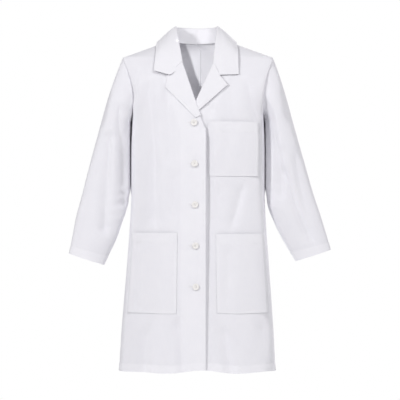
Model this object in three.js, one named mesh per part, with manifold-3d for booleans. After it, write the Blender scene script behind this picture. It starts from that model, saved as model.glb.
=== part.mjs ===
// Lab coat, knee length, worn form. Millimetres, +Z up, front towards -Y, wearer's left towards +X.
// The origin is the middle of the neck opening, level with the back neck seam.
import * as THREE from 'three';
import { ParametricGeometry } from 'three/addons/geometries/ParametricGeometry.js';
import { mergeGeometries, mergeVertices } from 'three/addons/utils/BufferGeometryUtils.js';
import Module from 'manifold-3d';

const wasm = await Module();
wasm.setup();

// ---- driving dimensions -------------------------------------------------------------------
const CLOTH = 1.6; // thickness of one modelled layer
const LAYER_GAP = 0.5; // clear space between two layers
const SEAM_GAP = 0.4; // clear space between two panels sewn edge to edge

const NECK_Z = 5; // height of the neck end of the shoulder seam
const NECK_HALF_WIDTH = 75;
const SHOULDER_Z = -46; // height of the shoulder end of the shoulder seam
const SHOULDER_HALF_WIDTH = 213;
const ARMPIT_Z = -206;
const ARMPIT_HALF_WIDTH = 185;
const ARMHOLE_BOW = 12; // how far the armhole seam curves in from a straight line
const ARMHOLE_FRONT_DEPTH = 62;
const ARMHOLE_BACK_DEPTH = 68;
const HEM_Z = -940;
const HEM_BAND = 22;
const TURN_UP_CLOTH = 1; // thickness of the cloth turned up inside a hem
const HEM_SIDE_GAP = 0.02; // radians a turned-up hem stops short of the side seam
const LEFT_HEM_INNER_X = 32;
const RIGHT_HEM_INNER_X = -66;

const SIDE_SEAM_Y = -40; // the side seam runs a little forward of the true side
const SECTION_POWER = 0.8; // below 1 flattens the front and back of each cross-section
const EDGE_ANGLE = 89.9 * THREE.MathUtils.DEG2RAD;

const LAP_EDGE_X = 21; // free edge of the right front, which laps over the left
const BAND_INNER_X = -33; // inner edge of the buttonhole band
const BAND_TOP_Z = -212;
const FACING_INNER_X = -46;
const UNDER_EDGE_X = -30; // free edge of the left front
const LEFT_FACING_X = 30;
const LAP_LIFT = 4.4; // how far the right front stands off the torso at the lap
const ROLL_END_Z = -249; // where the right lapel's roll line reaches the free edge
const LEFT_ROLL_END_Z = -240;
const WAIST_Z = -460;

const BUTTON_COUNT = 5;
const BUTTON_RADIUS = 9.3;
const BUTTON_THICKNESS = 3;
const BUTTON_TOP = { x: -11, z: -232 };
const BUTTON_STEP = { x: 1.3, z: -114.7 };
const BUTTON_STAND = 8.4; // from the torso surface to the button's back
const BUTTON_HOLE_RADIUS = 0.9;
const THREAD_RADIUS = 1.2;
const BUTTONHOLE = { length: 21, width: 3.6 };

const POCKET_FULLNESS = 10; // how far a pocket stands open at its mouth
const POCKET_HEM = 28;
const POCKET_EDGE_GAP = 0.9;

const VENT_TOP_Z = -690;
const VENT_UNDERLAP = 30;

// ---- materials ----------------------------------------------------------------------------
const cloth = (name, color) => new THREE.MeshStandardMaterial({ name, color, roughness: 0.85, metalness: 0 });
const outerCloth = cloth('poplin', 0xf0eff4);
const foldedCloth = cloth('poplin_fold', 0xecebf1);
const interlining = cloth('interlining', 0xe4e3e2);
const buttonPlastic = new THREE.MeshStandardMaterial({
  name: 'button',
  color: 0xebe7e2,
  roughness: 0.3,
  metalness: 0,
});
const threadCotton = cloth('thread', 0xf4f2ee);

// ---- small helpers ------------------------------------------------------------------------
const coat = new THREE.Group();

const clamp01 = (t) => THREE.MathUtils.clamp(t, 0, 1);

const smooth = (t) => THREE.MathUtils.smoothstep(t, 0, 1);

const mix = (a, b, t) => a + (b - a) * t;

// A smooth curve of value against position, through [position, value] pairs.
function profile(pairs) {
  const slope = (i) => {
    const a = pairs[Math.max(i - 1, 0)];
    const b = pairs[Math.min(i + 1, pairs.length - 1)];
    return (b[1] - a[1]) / (b[0] - a[0]);
  };
  return (position) => {
    const rising = pairs[1][0] > pairs[0][0];
    let i = 0;
    while (i < pairs.length - 2 && (rising ? position > pairs[i + 1][0] : position < pairs[i + 1][0])) {
      i += 1;
    }
    const [x0, y0] = pairs[i];
    const [x1, y1] = pairs[i + 1];
    const span = x1 - x0;
    const t = clamp01((position - x0) / span);
    const t2 = t * t;
    const t3 = t2 * t;
    return (2 * t3 - 3 * t2 + 1) * y0 + (t3 - 2 * t2 + t) * span * slope(i)
      + (3 * t2 - 2 * t3) * y1 + (t3 - t2) * span * slope(i + 1);
  };
}

// Straight lines through [position, value] pairs, for edges with real corners.
function polyline(pairs) {
  return (position) => {
    const rising = pairs[1][0] > pairs[0][0];
    let i = 0;
    while (i < pairs.length - 2 && (rising ? position > pairs[i + 1][0] : position < pairs[i + 1][0])) {
      i += 1;
    }
    const t = clamp01((position - pairs[i][0]) / (pairs[i + 1][0] - pairs[i][0]));
    return mix(pairs[i][1], pairs[i + 1][1], t);
  };
}

// Moves a point along the outward normal of the surface at(u, v), found by small steps in u and v.
function alongNormal(at, u, v, distance, outward) {
  const step = 0.002;
  const u0 = Math.max(u - step, 0);
  const u1 = Math.min(u + step, 1);
  const v0 = Math.max(v - step, 0);
  const v1 = Math.min(v + step, 1);
  const across = at(u1, v).sub(at(u0, v));
  const down = at(u, v1).sub(at(u, v0));
  const normal = across.cross(down).normalize();
  const point = at(u, v);
  if (normal.dot(outward(point)) < 0) {
    normal.negate();
  }
  return point.addScaledVector(normal, distance);
}

function weld(geometries) {
  const bare = geometries.map((geometry) => {
    geometry.deleteAttribute('normal');
    geometry.deleteAttribute('uv');
    return geometry;
  });
  return mergeVertices(mergeGeometries(bare), 1e-3);
}

function signedVolume(geometry) {
  const p = geometry.getAttribute('position');
  const index = geometry.getIndex();
  const a = new THREE.Vector3();
  const b = new THREE.Vector3();
  const c = new THREE.Vector3();
  let sum = 0;
  for (let i = 0; i < index.count; i += 3) {
    a.fromBufferAttribute(p, index.getX(i));
    b.fromBufferAttribute(p, index.getX(i + 1));
    c.fromBufferAttribute(p, index.getX(i + 2));
    sum += a.dot(b.cross(c));
  }
  return sum / 6;
}

function flipFaces(geometry) {
  const index = geometry.getIndex();
  for (let i = 0; i < index.count; i += 3) {
    const keep = index.getX(i);
    index.setX(i, index.getX(i + 1));
    index.setX(i + 1, keep);
  }
  return geometry;
}

// A patch of surface, u across and v down; flipped turns its faces over.
function patch(point, columns, rows, flipped) {
  const geometry = new ParametricGeometry((u, v, target) => target.copy(point(u, v)), columns, rows);
  return flipped ? flipFaces(geometry) : geometry;
}

// A closed sheet of cloth between two offsets, low and high, of the surface at(u, v).
function sheetGeometry(at, columns, rows, { low = 0, high = low + CLOTH, outward }) {
  const away = outward ?? ((p) => new THREE.Vector3(p.x, p.y, 0));
  const side = (offset) => (u, v) => {
    const amount = typeof offset === 'function' ? offset(u, v) : offset;
    return alongNormal(at, u, v, amount, away);
  };
  const outer = side(high);
  const inner = side(low);
  const edge = (path) => (t, depth) => {
    const [u, v] = path(t);
    return depth < 0.5 ? outer(u, v) : inner(u, v);
  };
  const solid = weld([
    patch(outer, columns, rows, false),
    patch(inner, columns, rows, true),
    patch(edge((t) => [t, 0]), columns, 1, true),
    patch(edge((t) => [t, 1]), columns, 1, false),
    patch(edge((t) => [0, t]), rows, 1, false),
    patch(edge((t) => [1, t]), rows, 1, true),
  ]);
  return signedVolume(solid) < 0 ? flipFaces(solid) : solid;
}

function addMesh(name, geometry, material) {
  const mesh = new THREE.Mesh(geometry, material);
  mesh.name = name;
  coat.add(mesh);
  return mesh;
}

function toManifold(geometry) {
  const bare = geometry.clone();
  bare.deleteAttribute('normal');
  bare.deleteAttribute('uv');
  const merged = mergeVertices(bare, 1e-3);
  return new wasm.Manifold(new wasm.Mesh({
    numProp: 3,
    vertProperties: new Float32Array(merged.getAttribute('position').array),
    triVerts: new Uint32Array(merged.getIndex().array),
  }));
}

function fromManifold(solid) {
  const mesh = solid.getMesh();
  const geometry = new THREE.BufferGeometry();
  geometry.setAttribute('position', new THREE.BufferAttribute(new Float32Array(mesh.vertProperties), 3));
  geometry.setIndex(new THREE.BufferAttribute(new Uint32Array(mesh.triVerts), 1));
  return geometry;
}

function cut(geometry, tools) {
  let solid = toManifold(geometry);
  for (const tool of tools) {
    solid = solid.subtract(toManifold(tool));
  }
  return fromManifold(solid);
}

// ---- torso surface ------------------------------------------------------------------------
const sideWidth = profile([[ARMPIT_Z, ARMPIT_HALF_WIDTH], [-300, 188], [-459, 189], [-620, 199.5], [-800, 213],
  [HEM_Z, 221]]);
const frontDepth = profile([[NECK_Z, 12], [-20, 52], [-46, 74], [-100, 100], [-175, 116], [-260, 121], [-460, 120],
  [-620, 128], [HEM_Z, 150]]);
const backDepth = profile([[NECK_Z, 56], [-20, 78], [-46, 90], [-100, 104], [-175, 112], [-260, 110], [-400, 101],
  [-560, 110], [HEM_Z, 143]]);

const armholeShare = (z) => clamp01((z - SHOULDER_Z) / (ARMPIT_Z - SHOULDER_Z));

// Half width of the torso: the shoulder seam, then the armhole, then the side.
function halfWidth(z) {
  if (z > SHOULDER_Z) {
    return mix(SHOULDER_HALF_WIDTH, NECK_HALF_WIDTH, (z - SHOULDER_Z) / (NECK_Z - SHOULDER_Z));
  }
  if (z > ARMPIT_Z) {
    const t = armholeShare(z);
    return mix(SHOULDER_HALF_WIDTH, ARMPIT_HALF_WIDTH, t) - ARMHOLE_BOW * Math.sin(Math.PI * t);
  }
  return sideWidth(z);
}

function armholeDepth(z, depth) {
  const t = armholeShare(z);
  return 2 * depth * Math.sqrt(t * (1 - t));
}

// Angle 0 is the middle of the front, a quarter turn the wearer's left side, a half turn the middle of the back.
function torso(angle, z) {
  const front = Math.abs(angle) <= Math.PI / 2;
  const depth = front ? frontDepth(z) : backDepth(z);
  const open = armholeDepth(z, front ? ARMHOLE_FRONT_DEPTH : ARMHOLE_BACK_DEPTH);
  const reach = open + (depth - open) * Math.abs(Math.cos(angle)) ** SECTION_POWER;
  return new THREE.Vector3(halfWidth(z) * Math.sin(angle), front ? -reach : reach, z);
}

const angleAt = (x, z) => Math.asin(THREE.MathUtils.clamp(x / halfWidth(z), -1, 1));

const seamAngle = (z) => Math.acos((-SIDE_SEAM_Y / frontDepth(z)) ** (1 / SECTION_POWER));

// Heights of a sheet's rows: straight stretches between the levels given, each with its number of rows.
function levels(heights, counts) {
  const list = [heights[0]];
  counts.forEach((count, i) => {
    for (let k = 1; k <= count; k += 1) {
      list.push(mix(heights[i], heights[i + 1], k / count));
    }
  });
  return list;
}

// Rows of the armhole stretch, spaced like the points round the sleeve head that meets it.
const ARMHOLE_ROWS = 9;
const armholeLevels = Array.from({ length: ARMHOLE_ROWS }, (_, i) => {
  const share = (1 - Math.cos(Math.PI * (i + 1) / ARMHOLE_ROWS)) / 2;
  return mix(SHOULDER_Z, ARMPIT_Z + 0.6, share);
});

// The surface between two edges of the torso, each given as an angle at a height, row by row.
function torsoPatch(from, to, rowHeights) {
  return (u, v) => {
    const place = clamp01(v) * (rowHeights.length - 1);
    const row = Math.min(Math.floor(place), rowHeights.length - 2);
    const t = place - row;
    const z = mix(rowHeights[row], rowHeights[row + 1], t);
    const start = mix(from(rowHeights[row]), from(rowHeights[row + 1]), t);
    const end = mix(to(rowHeights[row]), to(rowHeights[row + 1]), t);
    return torso(mix(start, end, u), z);
  };
}

// A sheet of cloth lying on the torso; holes are cut right through it.
function torsoSheet(name, from, to, rowHeights, columns, material, options = {}) {
  const at = torsoPatch(from, to, rowHeights);
  const geometry = sheetGeometry(at, columns, rowHeights.length - 1, options);
  return addMesh(name, options.holes ? cut(geometry, options.holes) : geometry, material);
}

// ---- back ---------------------------------------------------------------------------------
const BACK_MIDDLE = Math.PI - SEAM_GAP / 150;

function backSideAngle(z) {
  return z > ARMPIT_Z ? Math.PI - EDGE_ANGLE : seamAngle(z) + SEAM_GAP / 120;
}

const BACK_ROWS = { right: [5, 7], left: [4, 6] }; // rows from armpit to waist and from waist to hem

for (const [name, side] of [['right', -1], ['left', 1]]) {
  const rows = [
    ...levels([NECK_Z, SHOULDER_Z], [3]),
    ...armholeLevels,
    ...levels([ARMPIT_Z - 0.6, WAIST_Z, HEM_Z], BACK_ROWS[name]),
  ];
  torsoSheet(`back_${name}`, () => side * BACK_MIDDLE, (z) => side * backSideAngle(z), rows, 9, outerCloth);
  torsoSheet(`back_hem_${name}`, () => side * BACK_MIDDLE, (z) => side * (seamAngle(z) + HEM_SIDE_GAP),
    levels([HEM_Z + HEM_BAND, HEM_Z + 1], [1]), 9, foldedCloth,
    { low: -LAYER_GAP - TURN_UP_CLOTH, high: -LAYER_GAP });
}

const ventAngle = (x, z) => Math.PI - Math.asin(x / halfWidth(z));
torsoSheet('vent_underlap', (z) => ventAngle(-VENT_UNDERLAP, z), (z) => ventAngle(VENT_UNDERLAP, z),
  levels([VENT_TOP_Z, HEM_Z + HEM_BAND + 2], [5]), 3, outerCloth, { low: -LAYER_GAP - CLOTH, high: -LAYER_GAP });

// ---- fronts -------------------------------------------------------------------------------
// The right front's inner edge: the neckline and the lapel's roll line, then the inside of the buttonhole band.
const rightRoll = polyline([[NECK_Z, -70], [-18, -62], [-62, -46], [-175, -8], [ROLL_END_Z, 19]]);
const leftRoll = polyline([[NECK_Z, 70], [-18, 62], [-62, 46], [-175, -5], [LEFT_ROLL_END_Z, UNDER_EDGE_X]]);

function rightInnerX(z) {
  return z > BAND_TOP_Z ? rightRoll(z) : BAND_INNER_X - SEAM_GAP;
}

const lapLift = (x) => LAP_LIFT * smooth((x + 115) / 75);

const FRONT_TOP_Z = -4;
const ARMPIT_ROOM = 7; // the still shoulder stops short of the armpit, where the opening front turns
const SIDE_GAP = 0.008; // radians between the front and the back at the side seam
const BEND_GAP = 0.026; // radians between the still shoulder and the opening front

// The bend line of the cloth between the still shoulder and the opening front: neck to armpit.
function bendX(z) {
  const armpitX = Math.sin(seamAngle(ARMPIT_Z)) * ARMPIT_HALF_WIDTH;
  return mix(NECK_HALF_WIDTH - 9, armpitX, clamp01((NECK_Z - z) / (NECK_Z - ARMPIT_Z)));
}

function frontSideAngle(z) {
  return z > ARMPIT_Z ? angleAt(bendX(z), z) - BEND_GAP : seamAngle(z) - SIDE_GAP;
}

for (const [name, side] of [['right', -1], ['left', 1]]) {
  torsoSheet(`front_shoulder_${name}`, (z) => side * EDGE_ANGLE, (z) => side * angleAt(bendX(z), z),
    [...levels([NECK_Z, FRONT_TOP_Z, SHOULDER_Z], [1, 2]), ...armholeLevels.slice(0, -1), ARMPIT_Z + ARMPIT_ROOM], 3,
    outerCloth);
}

// A right-hand sheet is lifted by the lap, so its offsets follow its own X.
function rightSheet(name, from, to, rowHeights, columns, material, { low, high, holes }) {
  const at = torsoPatch(from, to, rowHeights);
  const lifted = (offset) => (u, v) => lapLift(at(u, v).x) + offset;
  return torsoSheet(name, from, to, rowHeights, columns, material, { low: lifted(low), high: lifted(high), holes });
}

const RIGHT_FRONT_ROWS = [
  ...levels([FRONT_TOP_Z, SHOULDER_Z], [2]),
  ...armholeLevels,
  ...levels([ARMPIT_Z - 0.6, BAND_TOP_Z + 0.6, BAND_TOP_Z - 0.6, WAIST_Z, HEM_Z], [1, 1, 4, 6]),
];
const LEFT_FRONT_ROWS = [
  ...levels([FRONT_TOP_Z, SHOULDER_Z], [2]),
  ...armholeLevels,
  ...levels([ARMPIT_Z - 0.6, LEFT_ROLL_END_Z, WAIST_Z, HEM_Z], [1, 4, 6]),
];
const leftInnerX = (z) => (z > LEFT_ROLL_END_Z ? leftRoll(z) : UNDER_EDGE_X);

rightSheet('front_right', (z) => -frontSideAngle(z), (z) => angleAt(rightInnerX(z), z), RIGHT_FRONT_ROWS, 12,
  outerCloth, { low: 0, high: CLOTH });
torsoSheet('front_left', (z) => angleAt(leftInnerX(z), z), frontSideAngle, LEFT_FRONT_ROWS, 14, outerCloth);

const hemRows = levels([HEM_Z + HEM_BAND, HEM_Z + 1], [1]);
const HEM_TURN_UP = { low: -LAYER_GAP - TURN_UP_CLOTH, high: -LAYER_GAP };
torsoSheet('front_hem_left', (z) => angleAt(LEFT_HEM_INNER_X, z), (z) => seamAngle(z) - HEM_SIDE_GAP, hemRows, 7,
  foldedCloth, HEM_TURN_UP);
rightSheet('front_hem_right', (z) => -seamAngle(z) + HEM_SIDE_GAP, (z) => angleAt(RIGHT_HEM_INNER_X, z), hemRows, 7,
  foldedCloth, HEM_TURN_UP);

// ---- buttonhole band, facings, buttons ------------------------------------------------------
const buttonPlaces = Array.from({ length: BUTTON_COUNT }, (_, i) => ({
  x: BUTTON_TOP.x + i * BUTTON_STEP.x,
  z: BUTTON_TOP.z + i * BUTTON_STEP.z,
}));

function onTorsoFront(x, z, offset) {
  const point = torso(angleAt(x, z), z);
  point.y -= offset;
  return point;
}

function buttonholeTools() {
  return buttonPlaces.map(({ x, z }) => {
    const slot = new THREE.BoxGeometry(BUTTONHOLE.length, 40, BUTTONHOLE.width);
    const middle = onTorsoFront(x - BUTTONHOLE.length / 2 + 4, z, LAP_LIFT);
    return slot.translate(middle.x, middle.y, middle.z);
  });
}

const bandEdge = (z) => Math.min(rightRoll(z), LAP_EDGE_X);
const bandRows = levels([BAND_TOP_Z - 1, ROLL_END_Z, WAIST_Z, HEM_Z], [2, 3, 6]);
rightSheet('buttonhole_band', (z) => angleAt(BAND_INNER_X, z), (z) => angleAt(bandEdge(z), z), bandRows, 3,
  outerCloth, { low: 0, high: CLOTH, holes: buttonholeTools() });
torsoSheet('facing_right', (z) => angleAt(FACING_INNER_X, z), (z) => angleAt(bandEdge(z) - 1, z), bandRows, 4,
  foldedCloth, { low: CLOTH + LAYER_GAP, high: CLOTH + LAYER_GAP + 1.1, holes: buttonholeTools() });
const leftFacingRows = levels([LEFT_ROLL_END_Z - 1, WAIST_Z, HEM_Z + 1], [3, 6]);
torsoSheet('facing_left', (z) => angleAt(UNDER_EDGE_X + 1, z), (z) => angleAt(LEFT_FACING_X, z), leftFacingRows, 3,
  foldedCloth, { low: -LAYER_GAP - CLOTH, high: -LAYER_GAP });

function buttonGeometry() {
  const r = BUTTON_RADIUS;
  const t = BUTTON_THICKNESS;
  const underside = [[0, 0], [r - 1.4, 0], [r - 0.2, 0.8], [r, t * 0.55]];
  const face = [[r - 0.7, t], [r - 2.1, t], [r - 3.6, t - 0.9], [0, t - 1.1]];
  const outline = [...underside, ...face];
  const disc = new THREE.LatheGeometry(outline.map(([x, y]) => new THREE.Vector2(x, y)), 20);
  const holes = [0, 1, 2, 3].map((k) => {
    const angle = (k + 0.5) * Math.PI / 2;
    const drill = new THREE.CylinderGeometry(BUTTON_HOLE_RADIUS, BUTTON_HOLE_RADIUS, 4 * t, 6);
    return drill.translate(2 * Math.cos(angle), 0, 2 * Math.sin(angle));
  });
  return cut(disc, holes);
}

buttonPlaces.forEach(({ x, z }, i) => {
  const button = addMesh(`button_${i + 1}`, buttonGeometry(), buttonPlastic);
  button.rotation.x = Math.PI;
  button.position.copy(onTorsoFront(x, z, BUTTON_STAND));
  const length = BUTTON_STAND - CLOTH - 2 * SEAM_GAP;
  const shank = new THREE.CylinderGeometry(THREAD_RADIUS, THREAD_RADIUS * 1.2, length, 10);
  const thread = addMesh(`button_thread_${i + 1}`, shank, threadCotton);
  thread.position.copy(onTorsoFront(x, z, CLOTH + SEAM_GAP + length / 2));
});

// ---- lapels -------------------------------------------------------------------------------
// A lapel runs from its roll line out to its free edge; both are [height, X] outlines on the torso.
function lapel(name, roll, freeEdge, low, lift) {
  const rowCount = 10;
  const at = (u, v) => {
    const inner = roll(v);
    const outer = freeEdge(v);
    const x = mix(inner[0], outer[0], u);
    const z = mix(inner[1], outer[1], u);
    return torso(angleAt(x, z), z);
  };
  const amount = (add) => (u, v) => add + lift(at(u, v).x);
  addMesh(name, sheetGeometry(at, 4, rowCount, { low: amount(low), high: amount(low + CLOTH) }), outerCloth);
}

function track(points) {
  const xs = polyline(points.map(([t, x]) => [t, x]));
  const zs = polyline(points.map(([t, , z]) => [t, z]));
  return (t) => [xs(t), zs(t)];
}

lapel('lapel_right', track([[0, -46, -64], [0.7, -8, -175], [1, 6, -214]]),
  track([[0, -84, -96], [0.2, -92, -133], [1, -6, -219]]), CLOTH + LAYER_GAP, lapLift);
lapel('lapel_left', track([[0, 46, -64], [0.7, -5, -175], [1, -15, -198]]),
  track([[0, 59, -99], [0.3, 83, -127], [1, -9, -208]]), CLOTH + LAYER_GAP, () => 0);

// ---- pockets ------------------------------------------------------------------------------
// corners: X of the inner and outer edge at the top and at the bottom, and the two heights.
function pocket(name, corners, lift) {
  const { top, bottom, z } = corners;
  const at = (u, v) => {
    const height = mix(z[0], z[1], v);
    const x = mix(mix(top[0], bottom[0], v), mix(top[1], bottom[1], v), u);
    return torso(angleAt(x, height), height);
  };
  const stand = (u, v) => {
    const fullness = POCKET_FULLNESS * (1 - (2 * u - 1) ** 4) * (1 - v ** 3);
    return CLOTH + POCKET_EDGE_GAP + fullness + lift(at(u, v).x);
  };
  const patchOptions = { low: stand, high: (u, v) => stand(u, v) + CLOTH };
  const columns = 8;
  addMesh(name, sheetGeometry(at, columns, 7, patchOptions), outerCloth);
  const hemShare = POCKET_HEM / (z[0] - z[1]);
  const inset = 1 / columns;
  const hemAt = (u, v) => at(mix(inset, 1 - inset, u), v * hemShare);
  const hemStand = (u, v) => stand(mix(inset, 1 - inset, u), v * hemShare) - 0.4;
  const hemOptions = { low: (u, v) => hemStand(u, v) - 1, high: hemStand };
  addMesh(`${name}_hem`, sheetGeometry(hemAt, columns - 2, 1, hemOptions), foldedCloth);
}

pocket('chest_pocket', { top: [28, 168], bottom: [28, 168], z: [-229, -382] }, () => 0);
pocket('hip_pocket_left', { top: [50, 182], bottom: [53, 196], z: [-544, -766] }, () => 0);
pocket('hip_pocket_right', { top: [-57, -182], bottom: [-59, -196], z: [-541, -766] }, lapLift);

// ---- collar -------------------------------------------------------------------------------
// Four rails run from the middle of the back (0) over the shoulder (0.5) to the front end (1).
const rail = (points) => new THREE.CatmullRomCurve3(points.map(([x, y, z]) => new THREE.Vector3(x, y, z)));
const neckSeam = rail([[0, 61, 3], [40, 51, 5], [68, 22, 8], [71, -8, 7], [62, -40, -12], [48, -82, -60]]);
const rollLine = rail([[0, 66, 42], [33, 56, 43], [53, 24, 43], [56, -8, 41], [51, -54, -2], [46, -89, -62]]);
const fallMiddle = rail([[0, 79, 19], [50, 69, 19], [80, 34, 20], [83, -4, 19], [83, -58, -18], [64, -104, -95]]);
const fallEdge = rail([[0, 87, -18], [58, 80, -16], [101, 42, -8], [108, -2, -2], [112, -66, -38],
  [114, -100, -97]]);

// Points at the same share of each rail; shares are spaced by the rails' own control points.
function onRail(curve, side, share) {
  const point = curve.getPoint(clamp01(share));
  point.x *= side;
  if (side < 0) {
    point.y -= lapLift(point.x) * smooth((share - 0.6) / 0.3);
  }
  return point;
}

const collarOutward = (p) => new THREE.Vector3(p.x, p.y - 5, 60);
const standOutward = (p) => new THREE.Vector3(p.x, p.y - 5, 0);

function fallAt(side, share, w) {
  const inner = onRail(rollLine, side, share).multiplyScalar(2 * (w - 0.5) * (w - 1));
  const middle = onRail(fallMiddle, side, share).multiplyScalar(4 * w * (1 - w));
  const outer = onRail(fallEdge, side, share).multiplyScalar(2 * w * (w - 0.5));
  return inner.add(middle).add(outer);
}

const STAND_INSET = 3;

function standAt(side, share, w) {
  const inset = new THREE.Vector3(-side * STAND_INSET * Math.min(2 * share, 1), -STAND_INSET * (1 - share), -2);
  const top = onRail(rollLine, side, share).add(inset);
  return onRail(neckSeam, side, share).lerp(top, mix(0.04, 0.94, w));
}

const COLLAR_SPLIT = 0.56;
const STAND_END = 0.86;
const collarParts = [
  { part: 'back', from: -COLLAR_SPLIT, to: COLLAR_SPLIT, columns: 14 },
  { part: 'right', from: -1, to: -COLLAR_SPLIT - 0.006, columns: 5 },
  { part: 'left', from: COLLAR_SPLIT + 0.006, to: 1, columns: 5 },
];

for (const { part, from, to, columns } of collarParts) {
  const fall = (u, w) => {
    const share = mix(from, to, u);
    return fallAt(share < 0 ? -1 : 1, Math.abs(share), w);
  };
  const stand = (u, w) => {
    const share = mix(Math.max(from, -STAND_END), Math.min(to, STAND_END), u);
    return standAt(share < 0 ? -1 : 1, Math.abs(share), w);
  };
  addMesh(`upper_collar_${part}`,
    sheetGeometry(fall, columns, 5, { low: 2.4, high: 3.6, outward: collarOutward }), outerCloth);
  addMesh(`under_collar_${part}`,
    sheetGeometry(fall, columns, 5, { low: 0, high: 1.1, outward: collarOutward }), foldedCloth);
  addMesh(`collar_stand_${part}`,
    sheetGeometry(stand, columns, 2, { low: -0.6, high: 0.6, outward: standOutward }), outerCloth);
  if (part === 'back') {
    const inset = 1 / columns;
    const inner = (u, w) => fall(mix(inset, 1 - inset, u), mix(0.2, 0.8, w));
    addMesh('collar_interlining',
      sheetGeometry(inner, columns - 2, 3, { low: 1.5, high: 2, outward: collarOutward }), interlining);
  }
}

// ---- sleeves ------------------------------------------------------------------------------
// Stations down the sleeve: X and Z of the outer and inner edge, and half the depth front to back.
const STATIONS = [
  { outer: [SHOULDER_HALF_WIDTH, SHOULDER_Z], inner: [ARMPIT_HALF_WIDTH, ARMPIT_Z], depth: 65 },
  { outer: [233, -104], inner: [191, -222], depth: 72 },
  { outer: [251, -163], inner: [197, -243], depth: 75 },
  { outer: [277, -258], inner: [198, -300], depth: 72 },
  { outer: [303, -350], inner: [198, -385], depth: 64 },
  { outer: [325, -427], inner: [199, -458], depth: 56 },
  { outer: [345, -487], inner: [219, -513], depth: 51 },
  { outer: [359, -532], inner: [240, -556], depth: 47 },
  { outer: [376, -590], inner: [279, -621], depth: 42 },
];
const CAP_END = 2;
const ELBOW_START = 4.6;
const ELBOW_END = 6.1;
const CUFF_START = 7.62;
const CUFF_END = 8;
const CAP_STAND_OFF = 4; // the sleeve head starts clear of the armhole edge
const SLEEVE_COLUMNS = 18;
const ARMHOLE_SKEW = 3; // the armhole is this much deeper behind than the sleeve, and shallower in front

const station = (pick) => profile(STATIONS.map((entry, i) => [i, pick(entry)]));
const outerX = station((entry) => entry.outer[0]);
const outerZ = station((entry) => entry.outer[1]);
const innerX = station((entry) => entry.inner[0]);
const innerZ = station((entry) => entry.inner[1]);
const sleeveDepth = station((entry) => entry.depth);

// The right sleeve hangs a little wider at the elbow and a little lower at the cuff than the left.
const HANG = {
  left: { bow: 0, drop: 0, draw: 0 },
  right: { bow: 8, drop: 11, draw: 11 },
};

function sleevePoint(name, side, s, turn) {
  const hang = HANG[name];
  const share = s / CUFF_END;
  const push = hang.bow * Math.sin(Math.PI * share) - hang.draw * share ** 2;
  const sink = hang.drop * share ** 2;
  const innerPush = s > ELBOW_START ? push * smooth(s - ELBOW_START) : 0;
  const outer = new THREE.Vector3(outerX(s) + push, 0, outerZ(s) - sink);
  const inner = new THREE.Vector3(innerX(s) + innerPush, 0, innerZ(s) - sink);
  const across = outer.clone().sub(inner).multiplyScalar(0.5);
  const middle = outer.clone().add(inner).multiplyScalar(0.5);
  const point = middle.addScaledVector(across, Math.cos(turn));
  const armhole = clamp01(1 - s / CAP_END);
  const backward = Math.sin(turn) > 0 ? 1 : -1;
  const depth = sleeveDepth(s) + backward * ARMHOLE_SKEW * Math.max(1 - s, 0);
  point.y = depth * Math.sin(turn);
  point.x += CAP_STAND_OFF * armhole - ARMHOLE_BOW * armhole * Math.sin(Math.PI * (1 - Math.cos(turn)) / 2);
  point.x *= side;
  return point;
}

// A tube of cloth: like a sheet, but closed on itself in u, with normals that wrap round too.
function ringGeometry(at, columns, rows, low, high) {
  const offsetPoint = (amount) => (u, v) => {
    const step = 0.004;
    const wrap = (value) => ((value % 1) + 1) % 1;
    const across = at(wrap(u + step), v).sub(at(wrap(u - step), v));
    const v0 = Math.max(v - step, 0);
    const v1 = Math.min(v + step, 1);
    const down = at(wrap(u), v1).sub(at(wrap(u), v0));
    const normal = down.cross(across).normalize();
    return at(wrap(u), v).addScaledVector(normal, amount);
  };
  const middle = at(0, 0.5).add(at(0.5, 0.5)).multiplyScalar(0.5);
  const trial = offsetPoint(1)(0, 0.5).sub(middle).length() - at(0, 0.5).sub(middle).length();
  const sign = trial > 0 ? 1 : -1;
  const outer = offsetPoint(sign * high);
  const inner = offsetPoint(sign * low);
  const edge = (v) => (t, depth) => (depth < 0.5 ? outer(t, v) : inner(t, v));
  const solid = weld([
    patch(outer, columns, rows, false),
    patch(inner, columns, rows, true),
    patch(edge(0), columns, 1, true),
    patch(edge(1), columns, 1, false),
  ]);
  return signedVolume(solid) < 0 ? flipFaces(solid) : solid;
}

function sleeveSheet(name, side, node, from, to, rows, material, { low = 0, high = CLOTH } = {}) {
  const at = (u, v) => sleevePoint(name, side, mix(from, to, v), -side * u * 2 * Math.PI);
  addMesh(node, ringGeometry(at, SLEEVE_COLUMNS, rows, low, high), material);
}

for (const [name, side] of [['right', -1], ['left', 1]]) {
  const gap = 0.006;
  sleeveSheet(name, side, `sleeve_head_${name}`, 0, CAP_END - gap, 5, outerCloth);
  sleeveSheet(name, side, `upper_sleeve_${name}`, CAP_END + gap, ELBOW_START - gap, 4, outerCloth);
  sleeveSheet(name, side, `elbow_cloth_${name}`, ELBOW_START + gap, ELBOW_END - gap, 3, outerCloth);
  sleeveSheet(name, side, `lower_sleeve_${name}`, ELBOW_END + gap, CUFF_END, 4, outerCloth);
  sleeveSheet(name, side, `cuff_hem_${name}`, CUFF_START, CUFF_END - 0.02, 1, foldedCloth,
    { low: -LAYER_GAP - TURN_UP_CLOTH, high: -LAYER_GAP });
}

export default coat;
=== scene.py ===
"""White lab coat with notched lapels, shown filled out as on an invisible body form."""
import math

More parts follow.
